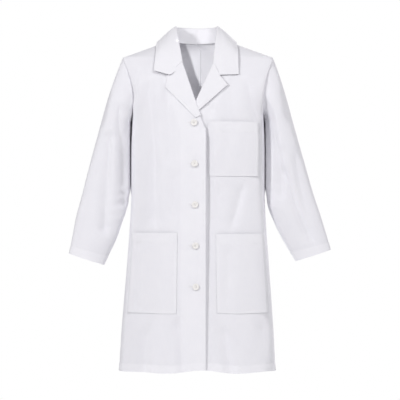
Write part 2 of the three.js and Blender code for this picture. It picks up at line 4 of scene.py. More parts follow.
import bpy
import numpy as np
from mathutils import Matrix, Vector


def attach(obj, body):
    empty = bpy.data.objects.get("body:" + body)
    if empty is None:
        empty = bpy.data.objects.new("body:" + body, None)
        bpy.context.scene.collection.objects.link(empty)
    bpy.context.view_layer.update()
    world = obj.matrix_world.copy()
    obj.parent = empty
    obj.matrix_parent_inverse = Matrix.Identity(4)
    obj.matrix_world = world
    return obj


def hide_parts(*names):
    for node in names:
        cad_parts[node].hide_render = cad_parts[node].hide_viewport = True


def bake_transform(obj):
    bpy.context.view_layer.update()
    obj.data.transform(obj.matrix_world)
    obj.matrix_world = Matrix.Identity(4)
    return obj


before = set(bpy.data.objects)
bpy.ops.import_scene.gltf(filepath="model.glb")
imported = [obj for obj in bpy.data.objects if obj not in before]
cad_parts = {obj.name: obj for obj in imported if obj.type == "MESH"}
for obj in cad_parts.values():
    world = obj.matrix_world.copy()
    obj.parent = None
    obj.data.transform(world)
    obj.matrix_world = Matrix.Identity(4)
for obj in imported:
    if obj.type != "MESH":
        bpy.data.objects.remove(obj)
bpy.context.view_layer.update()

# Lengths below are in millimetres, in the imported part's frame: +Z up, front towards -Y, wearer's left towards +X.
NECK_Z, NECK_HALF_WIDTH = 5, 75
SHOULDER_Z, SHOULDER_HALF_WIDTH = -46, 213
ARMPIT_Z, ARMPIT_HALF_WIDTH = -206, 185
ARMHOLE_BOW, ARMHOLE_FRONT, ARMHOLE_BACK = 12, 62, 68
HEM_Z, HEM_BAND = -932, 22
SIDE_SEAM_Y, SECTION_POWER = -40, 0.8
SEAM_SETTLE_Z = -330          # below this the side seam has reached its own line
LAP_EDGE_X, UNDER_EDGE_X = 21, -30
LAP_LIFT = 4.4
ROLL_END_Z, LEFT_ROLL_END_Z = -249, -240
VENT_TOP_Z = -690
CLOTH = 0.9                   # drawn thickness of one layer
LAYER = 0.8                   # middle of the outer layer above the torso surface
GRID = 5.0                    # spacing of the cloth meshes
EDGE_LIFT = -0.5              # a panel's outer edge at a seam, against the torso surface
FRONT_GAP = 0.004             # radians between a front's outer edge and the back's
SEAM_WIDTH, SEAM_DEPTH = 3.5, 1.3
HEM_LINE_WIDTH, HEM_LINE_DEPTH = 2.2, 0.5
BACK_HALF_GAP = 0.0015        # radians left open at the centre back
PANEL_COLUMNS = 56
BUTTONS = [(-11 + 1.3 * i, -232 - 114.7 * i) for i in range(5)]
BUTTON_STAND = 8.6            # from the torso surface to a button's back
BUTTON_RADIUS, BUTTON_THICKNESS = 9.3, 3.0
HOLE_OFFSET = 2.1             # from a button's middle to each of its holes
STITCH, STITCH_GAP, STITCH_RADIUS = 2.4, 1.0, 0.3
LINE_STEP = 1.5               # spacing of the points that a stitch line follows
TOPSTITCH = 6                 # distance of the edge stitching from the edge
EDGE_STITCH_WIDTH, EDGE_STITCH_DEPTH = 1.5, 0.35
LEVEL_SHARE, SLEEVE_LEVEL = 0.75, 0.5     # how far shading is turned forward on the body and on the sleeves
FOLD_DEPTH = 2.3              # scale of every drawn fold


# ---- curves ----
def profile(pairs):
    """A smooth curve of value against position through (position, value) pairs."""
    pairs = sorted(pairs)
    p = np.array([a for a, _ in pairs], float)
    q = np.array([b for _, b in pairs], float)
    low = np.maximum(np.arange(len(p)) - 1, 0)
    high = np.minimum(np.arange(len(p)) + 1, len(p) - 1)
    slope = (q[high] - q[low]) / (p[high] - p[low])

    def at(x):
        x = np.asarray(x, float)
        i = np.clip(np.searchsorted(p, x) - 1, 0, len(p) - 2)
        span = p[i + 1] - p[i]
        t = np.clip((x - p[i]) / span, 0, 1)
        t2, t3 = t * t, t * t * t
        return ((2 * t3 - 3 * t2 + 1) * q[i] + (t3 - 2 * t2 + t) * span * slope[i]
                + (3 * t2 - 2 * t3) * q[i + 1] + (t3 - t2) * span * slope[i + 1])
    return at


def polyline(pairs):
    pairs = sorted(pairs)
    return lambda x: np.interp(x, [a for a, _ in pairs], [b for _, b in pairs])


def smooth(t):
    t = np.clip(t, 0, 1)
    return t * t * (3 - 2 * t)


def rail(points):
    """A Catmull-Rom curve through the points, with t from 0 to 1 spread evenly over its spans."""
    k = np.array(points, float)
    k = np.vstack([2 * k[0] - k[1], k, 2 * k[-1] - k[-2]])

    def at(t):
        t = np.clip(np.asarray(t, float), 0, 1) * (len(k) - 3)
        i = np.minimum(t.astype(int), len(k) - 4)
        f = (t - i)[..., None]
        a, b, c, d = k[i], k[i + 1], k[i + 2], k[i + 3]
        return 0.5 * (2 * b + (c - a) * f + (2 * a - 5 * b + 4 * c - d) * f ** 2
                      + (3 * b - a - 3 * c + d) * f ** 3)
    return at


# ---- torso surface ----
side_width = profile([(ARMPIT_Z, 185), (-300, 188), (-459, 189), (-620, 199.5), (-800, 213), (-940, 221)])
front_depth = profile([(5, 12), (-20, 52), (-46, 74), (-100, 100), (-175, 116), (-260, 121), (-460, 120),
                       (-620, 128), (-940, 150)])
back_depth = profile([(5, 56), (-20, 78), (-46, 90), (-100, 104), (-175, 112), (-260, 110), (-400, 101),
                      (-560, 110), (-940, 143)])
right_roll = polyline([(5, -70), (-18, -62), (-62, -46), (-175, -8), (-249, 19)])
left_roll = polyline([(5, 70), (-18, 62), (-62, 46), (-175, -5), (-240, -30)])


def half_width(z):
    z = np.asarray(z, float)
    shoulder = NECK_HALF_WIDTH + (NECK_Z - z) / (NECK_Z - SHOULDER_Z) * (SHOULDER_HALF_WIDTH - NECK_HALF_WIDTH)
    t = np.clip((z - SHOULDER_Z) / (ARMPIT_Z - SHOULDER_Z), 0, 1)
    arm = SHOULDER_HALF_WIDTH + (ARMPIT_HALF_WIDTH - SHOULDER_HALF_WIDTH) * t - ARMHOLE_BOW * np.sin(np.pi * t)
    return np.where(z > SHOULDER_Z, shoulder, np.where(z > ARMPIT_Z, arm, side_width(z)))


def torso(angle, z):
    """Angle 0 is the middle of the front, a quarter turn the wearer's left side, a half turn the middle of the back."""
    angle, z = np.broadcast_arrays(np.asarray(angle, float), np.asarray(z, float))
    front = np.abs(angle) <= np.pi / 2
    t = np.clip((z - SHOULDER_Z) / (ARMPIT_Z - SHOULDER_Z), 0, 1)
    size = np.where(front, ARMHOLE_FRONT, ARMHOLE_BACK)
    depth = np.where(front, front_depth(z), back_depth(z))
    inward = np.abs(np.cos(angle)) ** SECTION_POWER
    at_edge = 2 * np.sqrt(t * (1 - t)) * size
    away_from_edge = size * np.exp(-((z + 128) / 74) ** 2) * smooth((SHOULDER_Z + 40 - z) / 60)
    edge = smooth(1 - inward / 0.42)
    hole = away_from_edge + (at_edge - away_from_edge) * edge
    reach = hole + (depth - hole) * inward
    return np.stack([half_width(z) * np.sin(angle), np.where(front, -reach, reach), z], -1)


def angle_at(x, z):
    return np.arcsin(np.clip(x / half_width(z), -1, 1))


def seam_angle(z):
    return np.arccos((-SIDE_SEAM_Y / front_depth(z)) ** (1 / SECTION_POWER))


def side_edge(z):
    """Angle of the front panel's outer edge: shoulder seam, armhole, then side seam."""
    z = np.asarray(z, float)
    settle = smooth((ARMPIT_Z - z) / (ARMPIT_Z - SEAM_SETTLE_Z))
    return np.pi / 2 + (seam_angle(np.minimum(z, -100)) - np.pi / 2) * settle


def outward(angle, z):
    """Unit normal of the torso surface, pointing out."""
    a, h = 0.004, 0.8
    across = torso(angle + a, z) - torso(angle - a, z)
    down = torso(angle, np.asarray(z) + h) - torso(angle, np.asarray(z) - h)
    n = np.cross(across, down)
    n /= np.linalg.norm(n, axis=-1, keepdims=True) + 1e-12
    p = torso(angle, z)
    flip = np.sign(n[..., 0] * p[..., 0] + n[..., 1] * p[..., 1])
    return n * np.where(flip == 0, 1, flip)[..., None]


def lap_lift(x):
    return LAP_LIFT * smooth((x + 115) / 75)


lap_flare = polyline([(-230, 6.0), (-420, 5.2), (-700, 3.4), (-860, 2.0), (-932, 1.0)])
under_hollow = polyline([(-190, 0), (-240, 5.5), (-420, 5.0), (-620, 3.6), (-800, 2.0), (-932, 0.6)])


def lap_stand(x, z):
    """How far the lap's free edge stands off, and how far the front beneath it sinks back, in mm."""
    flare = lap_flare(z) * np.exp(-(np.maximum(LAP_EDGE_X - x, 0) / 11) ** 1.6) * smooth((ROLL_END_Z - z) / 30)
    hollow = under_hollow(z) * np.exp(-((x - LAP_EDGE_X - 6) / np.where(x < LAP_EDGE_X + 6, 11, 15)) ** 2)
    return flare, hollow


# ---- how the cloth hangs ----
def valley(a, z, path, left, right, depth, fade=45):
    """A fold's valley along path [(z, a), ...], with its own width on each side and soft ends."""
    top, bottom = path[0][0], path[-1][0]
    line = polyline(path)(z)
    d = a - line
    shape = np.exp(-np.abs(d / np.where(d < 0, left, right)) ** 1.7)
    ends = smooth((top - z) / fade)
    if bottom > HEM_Z + 1:
        ends = ends * smooth((z - bottom) / fade)
    return -depth * shape * ends


def ripples(a, z, seed, lengths, size):
    """Soft upright ripples of the given wavelengths that wander a little down the cloth."""
    r = np.random.default_rng(seed)
    total = 0
    for length in lengths:
        phase, lean, sway, wave = r.uniform(0, 6.28), r.normal(0, 0.12), r.uniform(4, 9), r.uniform(190, 330)
        strength = 0.55 + 0.45 * np.sin(z / r.uniform(130, 240) + r.uniform(0, 6.28))
        total = total + strength * np.sin((a + lean * z + sway * np.sin(z / wave * 6.28)) / length * 6.28 + phase)
    return size * total / len(lengths)


# Each fold: its valley as (z, across) points, the width at its left and right, and its depth.
FRONT_FOLDS = [
    ([(-95, -130), (-154, -136), (-219, -131), (-307, -125), (-420, -123), (-540, -122)], 23, 17, 5.0),
    ([(-541, -168), (-640, -171), (-780, -173)], 17, 14, 2.4),
    ([(-110, -86), (-200, -80), (-300, -78), (-365, -80)], 17, 15, 2.8),
    ([(-350, -66), (-430, -68), (-520, -76)], 15, 13, 1.8),
    ([(-765, -58), (-850, -48), (-940, -42)], 17, 13, 3.8),
    ([(-785, -140), (-860, -146), (-940, -152)], 23, 17, 3.2),
    ([(-385, 132), (-450, 118), (-545, 90)], 16, 12, 2.6),
    ([(-395, 60), (-470, 52), (-540, 48)], 14, 12, 1.6),
    ([(-790, 70), (-860, 80), (-940, 96)], 20, 13, 3.8),
    ([(-770, 176), (-860, 186), (-940, 196)], 18, 16, 1.8),
    ([(-150, 22), (-190, 40), (-236, 52)], 12, 10, 2.0),
    ([(-90, 128), (-160, 150), (-250, 172)], 13, 12, 2.4),
    ([(-60, -168), (-110, -176), (-190, -178)], 11, 9, 2.6),
    ([(-560, 88), (-640, 84), (-760, 78)], 18, 14, 1.2),
]
BACK_FOLDS = [
    ([(-120, -118), (-220, -104), (-360, -92), (-560, -86), (-760, -84), (-940, -88)], 18, 15, 5.0),
    ([(-130, 122), (-230, 108), (-380, 94), (-600, 90), (-780, 98), (-940, 104)], 15, 19, 5.0),
    ([(-420, 34), (-560, 30), (-760, 40), (-940, 46)], 14, 13, 3.2),
    ([(-400, -40), (-560, -34), (-760, -32), (-940, -40)], 13, 14, 3.0),
    ([(-640, 150), (-760, 156), (-940, 164)], 16, 15, 5.0),
    ([(-620, -150), (-760, -158), (-940, -160)], 15, 16, 5.0),
    ([(-150, -158), (-240, -146), (-330, -150)], 13, 13, 3.0),
    ([(-150, 160), (-240, 150), (-320, 152)], 13, 13, 3.0),
]


def drape(p):
    """How far the cloth stands out from the torso surface at p, the same for every layer."""
    x, y, z = p[..., 0], p[..., 1], p[..., 2]
    front = smooth((-y - 12) / 45)
    back = smooth((y - 12) / 45)
    edge = smooth((-z - 30) / 90)
    out = 0
    for path, left, right, depth in FRONT_FOLDS:
        out = out + front * FOLD_DEPTH * valley(x, z, path, left, right, depth)
    for path, left, right, depth in BACK_FOLDS:
        out = out + back * FOLD_DEPTH * valley(x, z, path, left, right, depth)
    calm = smooth((np.abs(x + 4) - 14) / 40)          # the buttoned edges stay flat
    out = out + front * calm * ripples(x, z, 5, (62, 97, 141), 3.0)
    out = out + back * ripples(x, z, 11, (70, 108, 150), 3.4)
    beside_arm = smooth((y - 6) / 16) * smooth((74 - y) / 30) * smooth((-196 - z) / 30) * smooth((z + 452) / 50)
    out = out + 8.0 * beside_arm
    skirt = smooth((-z - 560) / 380)
    around = np.degrees(np.arctan2(x, -y)) * 3.4
    out = out + skirt * (0.25 + 0.75 * (1 - front)) * ripples(around, z * 0.3, 23, (118, 171), 6.0)
    return edge * out


def cloth_point(angle, z, lift):
    base = torso(angle, z)
    p = base + outward(angle, z) * (np.asarray(lift) + drape(base))[..., None]
    front = smooth((-base[..., 1] - 20) / 60)
    rise = 7 * np.exp(-((base[..., 0] - 6) / 70) ** 2) + 2 * np.sin(base[..., 0] / 29 + 1)
    return p + np.stack([0 * rise, 0 * rise, front * rise * smooth((-620 - base[..., 2]) / 300)], -1)


def on_front(x, z, lift):
    x, z = np.broadcast_arrays(np.asarray(x, float), np.asarray(z, float))
    return cloth_point(angle_at(x, z), z, lift)


# ---- meshes ----
def grid_normals(p, wrap=False):
    if wrap:
        across = np.roll(p, -1, 1) - np.roll(p, 1, 1)
    else:
        across = np.gradient(p, axis=1)
    n = np.cross(across, np.gradient(p, axis=0))
    n /= np.linalg.norm(n, axis=-1, keepdims=True) + 1e-9
    return n


def arc_uv(p, wrap=False):
    du = np.linalg.norm(np.diff(p, axis=1), axis=-1)
    dv = np.linalg.norm(np.diff(p, axis=0), axis=-1)
    u = np.concatenate([np.zeros((p.shape[0], 1)), np.cumsum(du, 1)], 1)
    u = u - u[:, u.shape[1] // 2][:, None]
    v = np.concatenate([[0], np.cumsum(dv.mean(1))])
    return np.stack([u, np.broadcast_to(v[:, None], u.shape)], -1)


def new_object(name, verts, faces, material, uv=None, layers=None, smooth_shade=True):
    mesh = bpy.data.meshes.new(name)
    mesh.from_pydata((np.asarray(verts) / 1000).tolist(), [], [tuple(f) for f in faces])
    if uv is not None:
        layer = mesh.uv_layers.new(name="cloth")
        index = np.zeros(len(mesh.loops), int)
        mesh.loops.foreach_get("vertex_index", index)
        layer.data.foreach_set("uv", (np.asarray(uv)[index] / 1000).astype(np.float32).ravel())
    if layers is not None:
        attribute = mesh.attributes.new("layers", "FLOAT", "POINT")
        attribute.data.foreach_set("value", np.asarray(layers, np.float32).ravel())
    mesh.polygons.foreach_set("use_smooth", [smooth_shade] * len(mesh.polygons))
    mesh.materials.append(material)
    mesh.update()
    obj = bpy.data.objects.new(name, mesh)
    bpy.context.scene.collection.objects.link(obj)
    return obj


def turned_forward(n, base, share):
    """Shading normals n turned about the upright by a share of how far the plain form beneath them faces sideways."""
    round_by = np.arctan2(base[..., 0], -base[..., 1])
    back = share * round_by * (1 - smooth((np.abs(round_by) - 0.85) / 0.7))
    c, s = np.cos(back), np.sin(back)
    return np.stack([c * n[..., 0] + s * n[..., 1], c * n[..., 1] - s * n[..., 0], n[..., 2]], -1)


def level_light(n, p):
    """Front cloth shades as on a flatter chest."""
    base = outward(angle_at(p[..., 0], p[..., 2]), p[..., 2])
    return turned_forward(n, base, LEVEL_SHARE * smooth((-p[..., 1] - 10) / 30))


def sheet_object(name, p, material, away, thickness=CLOTH, layers=None, wrap=False, normals=None, shown=None):
    """A two-sided sheet of cloth whose middle surface is the grid p; away(p) points out of the coat.

    shown(normals, p) gives the shading normals, where they differ from the mesh's own."""
    rows, cols = p.shape[:2]
    n = grid_normals(p, wrap) if normals is None else normals
    sign = np.sign((n * away(p)).sum(-1).mean())
    n = n * sign
    half = np.broadcast_to(np.asarray(thickness, float) / 2, (rows, cols))[..., None]
    verts = np.concatenate([(p + n * half).reshape(-1, 3), (p - n * half).reshape(-1, 3)])
    i = np.arange(rows * cols).reshape(rows, cols)
    right = np.roll(i, -1, 1) if wrap else i[:, 1:]
    left = i if wrap else i[:, :-1]
    quads = np.stack([left[:-1], right[:-1], right[1:], left[1:]], -1).reshape(-1, 4)
    count = rows * cols
    rims = [(right[0], left[0]), (left[-1], right[-1])]
    if not wrap:
        rims += [(i[:-1, 0], i[1:, 0]), (i[1:, -1], i[:-1, -1])]
    strips = [np.stack([a, b, b + count, a + count], -1) for a, b in rims]
    faces = np.concatenate([quads, quads[:, ::-1] + count] + strips)
    if sign < 0:
        faces = faces[:, ::-1]
    uv = arc_uv(p)
    uv = np.concatenate([uv.reshape(-1, 2)] * 2)
    if layers is None:
        layers = np.zeros((rows, cols))
    obj = new_object(name, verts, faces, material, uv, np.concatenate([np.asarray(layers).ravel()] * 2))
    if shown:
        shading = shown(n, p).reshape(-1, 3)
        custom = np.concatenate([shading, -shading])
        obj.data.normals_split_custom_set_from_vertices(custom.tolist())
    return obj


def rows_between(*stops, step=GRID):
    """Heights from the first stop to the last that pass through every stop."""
    out = [np.array([stops[0]], float)]
    for a, b in zip(stops, stops[1:]):
        count = max(1, round(abs(b - a) / step))
        out.append(np.linspace(a, b, count + 1)[1:])
    return np.concatenate(out)


def groove(d, width, depth):
    return -depth * np.exp(-(d / width) ** 2)


def edge_stitching(from_edge):
    """The dent that a line of edge stitching pulls into doubled cloth."""
    return groove(from_edge - TOPSTITCH, EDGE_STITCH_WIDTH, EDGE_STITCH_DEPTH)


def stitch_verts(a, b, n, width, height):
    """Five corners for each stitch from a to b: its ends, and its sides and crest halfway."""
    n = n / np.linalg.norm(n, axis=1, keepdims=True)
    side = np.cross(b - a, n)
    side /= np.linalg.norm(side, axis=1, keepdims=True)
    middle = (a + b) / 2
    return np.stack([a, b, middle + side * width, middle + n * height, middle - side * width], 1).reshape(-1, 3)


def stitch_object(name, verts, material):
    first = np.arange(len(verts) // 5)[:, None, None] * 5
    faces = (first + np.array([[0, 3, 2], [0, 4, 3], [1, 2, 3], [1, 3, 4]])[None]).reshape(-1, 3)
    return new_object(name, verts, faces, material, smooth_shade=False)


def stitches(name, paths, material):
    """One mesh of real stitches along paths, each a pair of (points, normals) running along the cloth."""
    verts = []
    pitch = STITCH + STITCH_GAP
    for points, normals in paths:
        step = np.linalg.norm(np.diff(points, axis=0), axis=1)
        along = np.concatenate([[0], np.cumsum(step)])
        count = int(along[-1] / pitch)
        if count < 1:
            continue
        start = np.arange(count) * pitch
        pick = lambda values, s: np.stack([np.interp(s, along, values[:, k]) for k in range(3)], -1)
        a, b = pick(points, start), pick(points, start + STITCH)
        n = pick(normals, start + STITCH / 2)
        verts.append(stitch_verts(a, b, n, STITCH_RADIUS, STITCH_RADIUS))
    return stitch_object(name, np.concatenate(verts), material)


# ---- materials ----
def new_material(name):
    material = bpy.data.materials.new(name)
    material.use_nodes = True
    tree = material.node_tree
    return material, tree, tree.nodes["Principled BSDF"]


def link(tree, a, b):
    tree.links.new(a, b)


def add_node(tree, kind, inputs=None, **attributes):
    """A shader node whose inputs, by name or place, are set to a value or linked to a socket."""
    node = tree.nodes.new("ShaderNode" + kind)
    for key, value in attributes.items():
        setattr(node, key, value)
    for key, value in (inputs or {}).items():
        if isinstance(value, bpy.types.NodeSocket):
            link(tree, value, node.inputs[key])
        else:
            node.inputs[key].default_value = value
    return node


def value_math(tree, operation, *values):
    return add_node(tree, "Math", dict(enumerate(values)), operation=operation).outputs[0]


def noise(tree, vector, scale, detail=2.0, distortion=0.0):
    return add_node(tree, "TexNoise", {"Scale": scale, "Detail": detail, "Distortion": distortion,
                                       "Vector": vector}).outputs["Fac"]


def colour_ramp(tree, fac, low, high, low_at=0.3, high_at=0.7):
    node = add_node(tree, "ValToRGB", {"Fac": fac})
    for element, position, colour in zip(node.color_ramp.elements, (low_at, high_at), (low, high)):
        element.position = position
        element.color = (*colour, 1)
    return node.outputs["Color"]


def bump(tree, height, distance, strength, before=None):
    inputs = {"Distance": distance, "Strength": strength, "Height": height}
    if before is not None:
        inputs["Normal"] = before
    return add_node(tree, "Bump", inputs).outputs["Normal"]


def map_range(tree, value, low, high):
    return add_node(tree, "MapRange", {"To Min": low, "To Max": high, "Value": value}).outputs["Result"]


def cloth_material(name, single, double, thread=0.00055, crinkle=0.35):
    """Plain-weave poplin: crossing threads, slubs, soft crinkles, and a lighter tone where layers lie double."""
    material, tree, shader = new_material(name)
    uv = add_node(tree, "UVMap", uv_map="cloth").outputs["UV"]
    place = tree.nodes.new("ShaderNodeTexCoord").outputs["Object"]
    split = add_node(tree, "SeparateXYZ", {0: uv})
    warp = value_math(tree, "SINE", value_math(tree, "MULTIPLY", split.outputs[0], 2 * math.pi / thread))
    weft = value_math(tree, "SINE", value_math(tree, "MULTIPLY", split.outputs[1], 2 * math.pi / thread))
    weave = value_math(tree, "MULTIPLY", warp, weft)
    stretch = add_node(tree, "Mapping", {"Scale": (1.0, 0.12, 1.0), "Vector": uv})
    slub = noise(tree, stretch.outputs[0], 420.0, 2.0)
    soft = noise(tree, place, 26.0, 3.0, 0.4)
    fine = noise(tree, place, 95.0, 2.0, 0.2)
    layers = add_node(tree, "Attribute", attribute_name="layers")
    tone = add_node(tree, "Mix", {6: (*single, 1), 7: (*double, 1), 0: layers.outputs["Fac"]}, data_type="RGBA")
    shade = add_node(tree, "Mix", {0: 1.0, 6: tone.outputs[2]}, data_type="RGBA", blend_type="MULTIPLY")
    mixed = value_math(tree, "ADD", value_math(tree, "MULTIPLY", soft, 0.6), value_math(tree, "MULTIPLY", slub, 0.4))
    link(tree, colour_ramp(tree, mixed, (0.972, 0.974, 0.98), (1.0, 1.0, 1.0)), shade.inputs[7])
    link(tree, shade.outputs[2], shader.inputs["Base Color"])
    link(tree, map_range(tree, fine, 0.78, 0.92), shader.inputs["Roughness"])
    relief = bump(tree, soft, 0.0022, crinkle)
    relief = bump(tree, fine, 0.0006, crinkle * 0.6, relief)
    relief = bump(tree, slub, 0.00012, 0.5, relief)
    relief = bump(tree, weave, 0.00008, 0.45, relief)
    link(tree, relief, shader.inputs["Normal"])
    shader.inputs["Sheen Weight"].default_value = 0.12
    shader.inputs["Sheen Roughness"].default_value = 0.55
    shader.inputs["Specular IOR Level"].default_value = 0.25
    return material


poplin = cloth_material("poplin_face", (0.838, 0.833, 0.868), (0.905, 0.90, 0.93))
# A darker copy of the poplin for the facings and the vent underlap: painted shade for cloth that lies inside the coat.
poplin_inside_shaded = cloth_material("poplin_inside_shaded", (0.82, 0.815, 0.85), (0.86, 0.855, 0.885), crinkle=0.25)
# Crisp poplin for the collar, lapels and pockets. Its doubled tone is darker than the body poplin's, as painted shade
# that keeps these raised pieces from showing brighter than the body.
poplin_crisp_shaded = cloth_material("poplin_crisp_shaded", (0.838, 0.833, 0.866), (0.862, 0.857, 0.888), crinkle=0.16)


def thread_material(name, colour):
    material, tree, shader = new_material(name)
    place = tree.nodes.new("ShaderNodeTexCoord").outputs["Object"]
    twist = noise(tree, place, 2600.0, 1.0)
    link(tree, colour_ramp(tree, twist, tuple(0.93 * c for c in colour), colour), shader.inputs["Base Color"])
    link(tree, map_range(tree, twist, 0.5, 0.7), shader.inputs["Roughness"])
    link(tree, bump(tree, twist, 0.0001, 0.5), shader.inputs["Normal"])
    shader.inputs["Sheen Weight"].default_value = 0.1
    return material


sewing_thread = thread_material("sewing_thread", (0.90, 0.895, 0.91))
button_thread = thread_material("button_thread", (0.90, 0.885, 0.86))


def pearl_material():
    material, tree, shader = new_material("pearl_polyester")
    place = tree.nodes.new("ShaderNodeTexCoord").outputs["Object"]
    swirl = noise(tree, place, 190.0, 3.0, 2.2)
    speck = noise(tree, place, 900.0, 2.0)
    link(tree, colour_ramp(tree, swirl, (0.84, 0.82, 0.79), (0.89, 0.875, 0.855)), shader.inputs["Base Color"])
    link(tree, map_range(tree, speck, 0.30, 0.46), shader.inputs["Roughness"])
    link(tree, bump(tree, swirl, 0.00012, 0.25), shader.inputs["Normal"])
    shader.inputs["Coat Weight"].default_value = 0.1
    shader.inputs["Coat Roughness"].default_value = 0.12
    return material


pearl = pearl_material()


# ---- helpers: millimetres, baked transforms, radial directions, column spacing ----
def mm(x, y, z):
    return (x / 1000, y / 1000, z / 1000)


def bend_right_front(obj):
    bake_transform(obj)


def bend_left_front(obj):
    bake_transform(obj)


def radial(p):
    return np.stack([p[..., 0], p[..., 1], 0 * p[..., 2]], -1)


edge_spacing = np.array([0, 0.006, 0.014, 0.026])


def column_shares(count):
    middle = np.linspace(edge_spacing[-1], 1 - edge_spacing[-1], count)
    return np.concatenate([edge_spacing[:-1], middle, 1 - edge_spacing[:-1][::-1]])


# ---- panels of the body ----
def arc_from_side(p):
    step = np.linalg.norm(np.diff(p, axis=1), axis=-1)
    return np.concatenate([np.zeros((p.shape[0], 1)), np.cumsum(step, 1)], 1)


def in_hem(z):
    return smooth((HEM_Z + HEM_BAND + 1 - z) / 2)


def hem_relief(z, hem):
    """The dent along the hem's stitching, and the doubled cloth below it."""
    return groove(z - (HEM_Z + HEM_BAND), HEM_LINE_WIDTH, HEM_LINE_DEPTH) + 0.45 * hem


def panel_rows(*stops):
    hem = HEM_Z + HEM_BAND
    upper = rows_between(NECK_Z, SHOULDER_Z, step=3.0)
    return np.concatenate([upper, rows_between(SHOULDER_Z, ARMPIT_Z, *stops, hem + 3, hem, hem - 3, HEM_Z)[1:]])


def turned_in(points, z, side):
    """Three columns past a back panel's outer edge: under the front at the shoulder, inwards at the armhole."""
    armhole = ((z < SHOULDER_Z - 1) & (z > ARMPIT_Z + 1))[..., None]
    above = 0.03 + 0.97 * smooth((z - ARMPIT_Z + 24) / 25)
    under = [cloth_point(side * (side_edge(z) - reach * above), z, EDGE_LIFT + (lift - EDGE_LIFT) * above)
             for reach, lift in ((0.05, -1.1), (0.03, -1.0), (0.015, -0.8))]
    inward = [points[:, :1] + np.array([-side * reach, 0, 0]) for reach in (5.0, 3.5, 2.0)]
    return np.concatenate([np.where(armhole, a, b) for a, b in zip(inward, under)] + [points], 1)


def run_under(points, z, side):
    """Three columns past a front panel's outer edge, inside the back: they keep the side seam shut as it opens."""
    below = 0.02 + 0.98 * smooth((ARMPIT_Z + 1 - z) / 25)
    under = [cloth_point(side * (side_edge(z) - FRONT_GAP + reach * below), z, EDGE_LIFT + (lift - EDGE_LIFT) * below)
             for reach, lift in ((0.13, -2.1), (0.06, -1.9), (0.02, -1.4))]
    return np.concatenate(under + [points], 1)


back_rows = panel_rows()
back_hem = in_hem(back_rows)[:, None]
for name, side in (("right", -1), ("left", 1)):
    z = back_rows[:, None]
    outer = side_edge(z)
    angle = outer + (np.pi - BACK_HALF_GAP - outer) * column_shares(PANEL_COLUMNS)[None, :]
    angle = np.where((z < SHOULDER_Z) & (z > ARMPIT_Z), np.maximum(angle, np.pi / 2 + FRONT_GAP), angle)
    arc = arc_from_side(torso(angle, z))
    from_middle = arc[:, -1:] - arc
    lift = LAYER + groove(arc, SEAM_WIDTH, SEAM_DEPTH) + groove(from_middle, 3.0, 0.2)
    lift = lift + hem_relief(z, back_hem)
    vent = smooth((VENT_TOP_Z - z) / 60) * smooth((34 - from_middle) / 30)
    lift = lift + (2.0 if name == "left" else -0.4) * vent
    points = cloth_point(angle * side, z, lift)
    reach = (-1.2 - 17 * smooth((VENT_TOP_Z - z) / 50)) if name == "left" else 1 + 8 * smooth((-12 - z) / 10)
    stand = 0.15 if name == "left" else -0.95
    allowance = [points[:, -1:] + np.stack([reach * share, 0 * z + stand, 0 * z], -1) for share in (0.5, 1.0)]
    points = np.concatenate([points] + allowance, 1)
    points = turned_in(points, z, side)
    hem = np.broadcast_to(back_hem, points.shape[:2])
    panel = sheet_object(f"back_panel_{name}", points, poplin, radial, CLOTH + 0.9 * hem, 0.6 * hem)
    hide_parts(f"back_{name}", f"back_hem_{name}")
    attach(panel, "torso")

vent_rows = rows_between(VENT_TOP_Z + 12, HEM_Z + HEM_BAND)[:, None]
vent_x = np.linspace(-34, 24, 14)[None, :]
vent_angle = np.pi - np.arcsin(vent_x / half_width(vent_rows))
vent_flap = sheet_object("vent_underlap_flap", cloth_point(vent_angle, vent_rows, LAYER - 2.6 + 0 * vent_angle),
                         poplin_inside_shaded, radial)
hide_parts("vent_underlap")
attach(vent_flap, "torso")


def right_edge(z):
    return np.where(z > ROLL_END_Z, right_roll(z), LAP_EDGE_X)


def left_edge(z):
    return np.where(z > LEFT_ROLL_END_Z, left_roll(z), UNDER_EDGE_X)


def front_lift(name, x, z):
    flare, hollow = lap_stand(x, z)
    return LAYER + (lap_lift(x) + flare if name == "right" else -hollow)


FRONTS = {
    "right": dict(side=-1, edge=right_edge, roll_end=ROLL_END_Z, facing=-46, bend=bend_right_front,
                  nodes=("front_right", "front_shoulder_right", "buttonhole_band", "front_hem_right")),
    "left": dict(side=1, edge=left_edge, roll_end=LEFT_ROLL_END_Z, facing=30, bend=bend_left_front,
                 nodes=("front_left", "front_shoulder_left", "front_hem_left")),
}

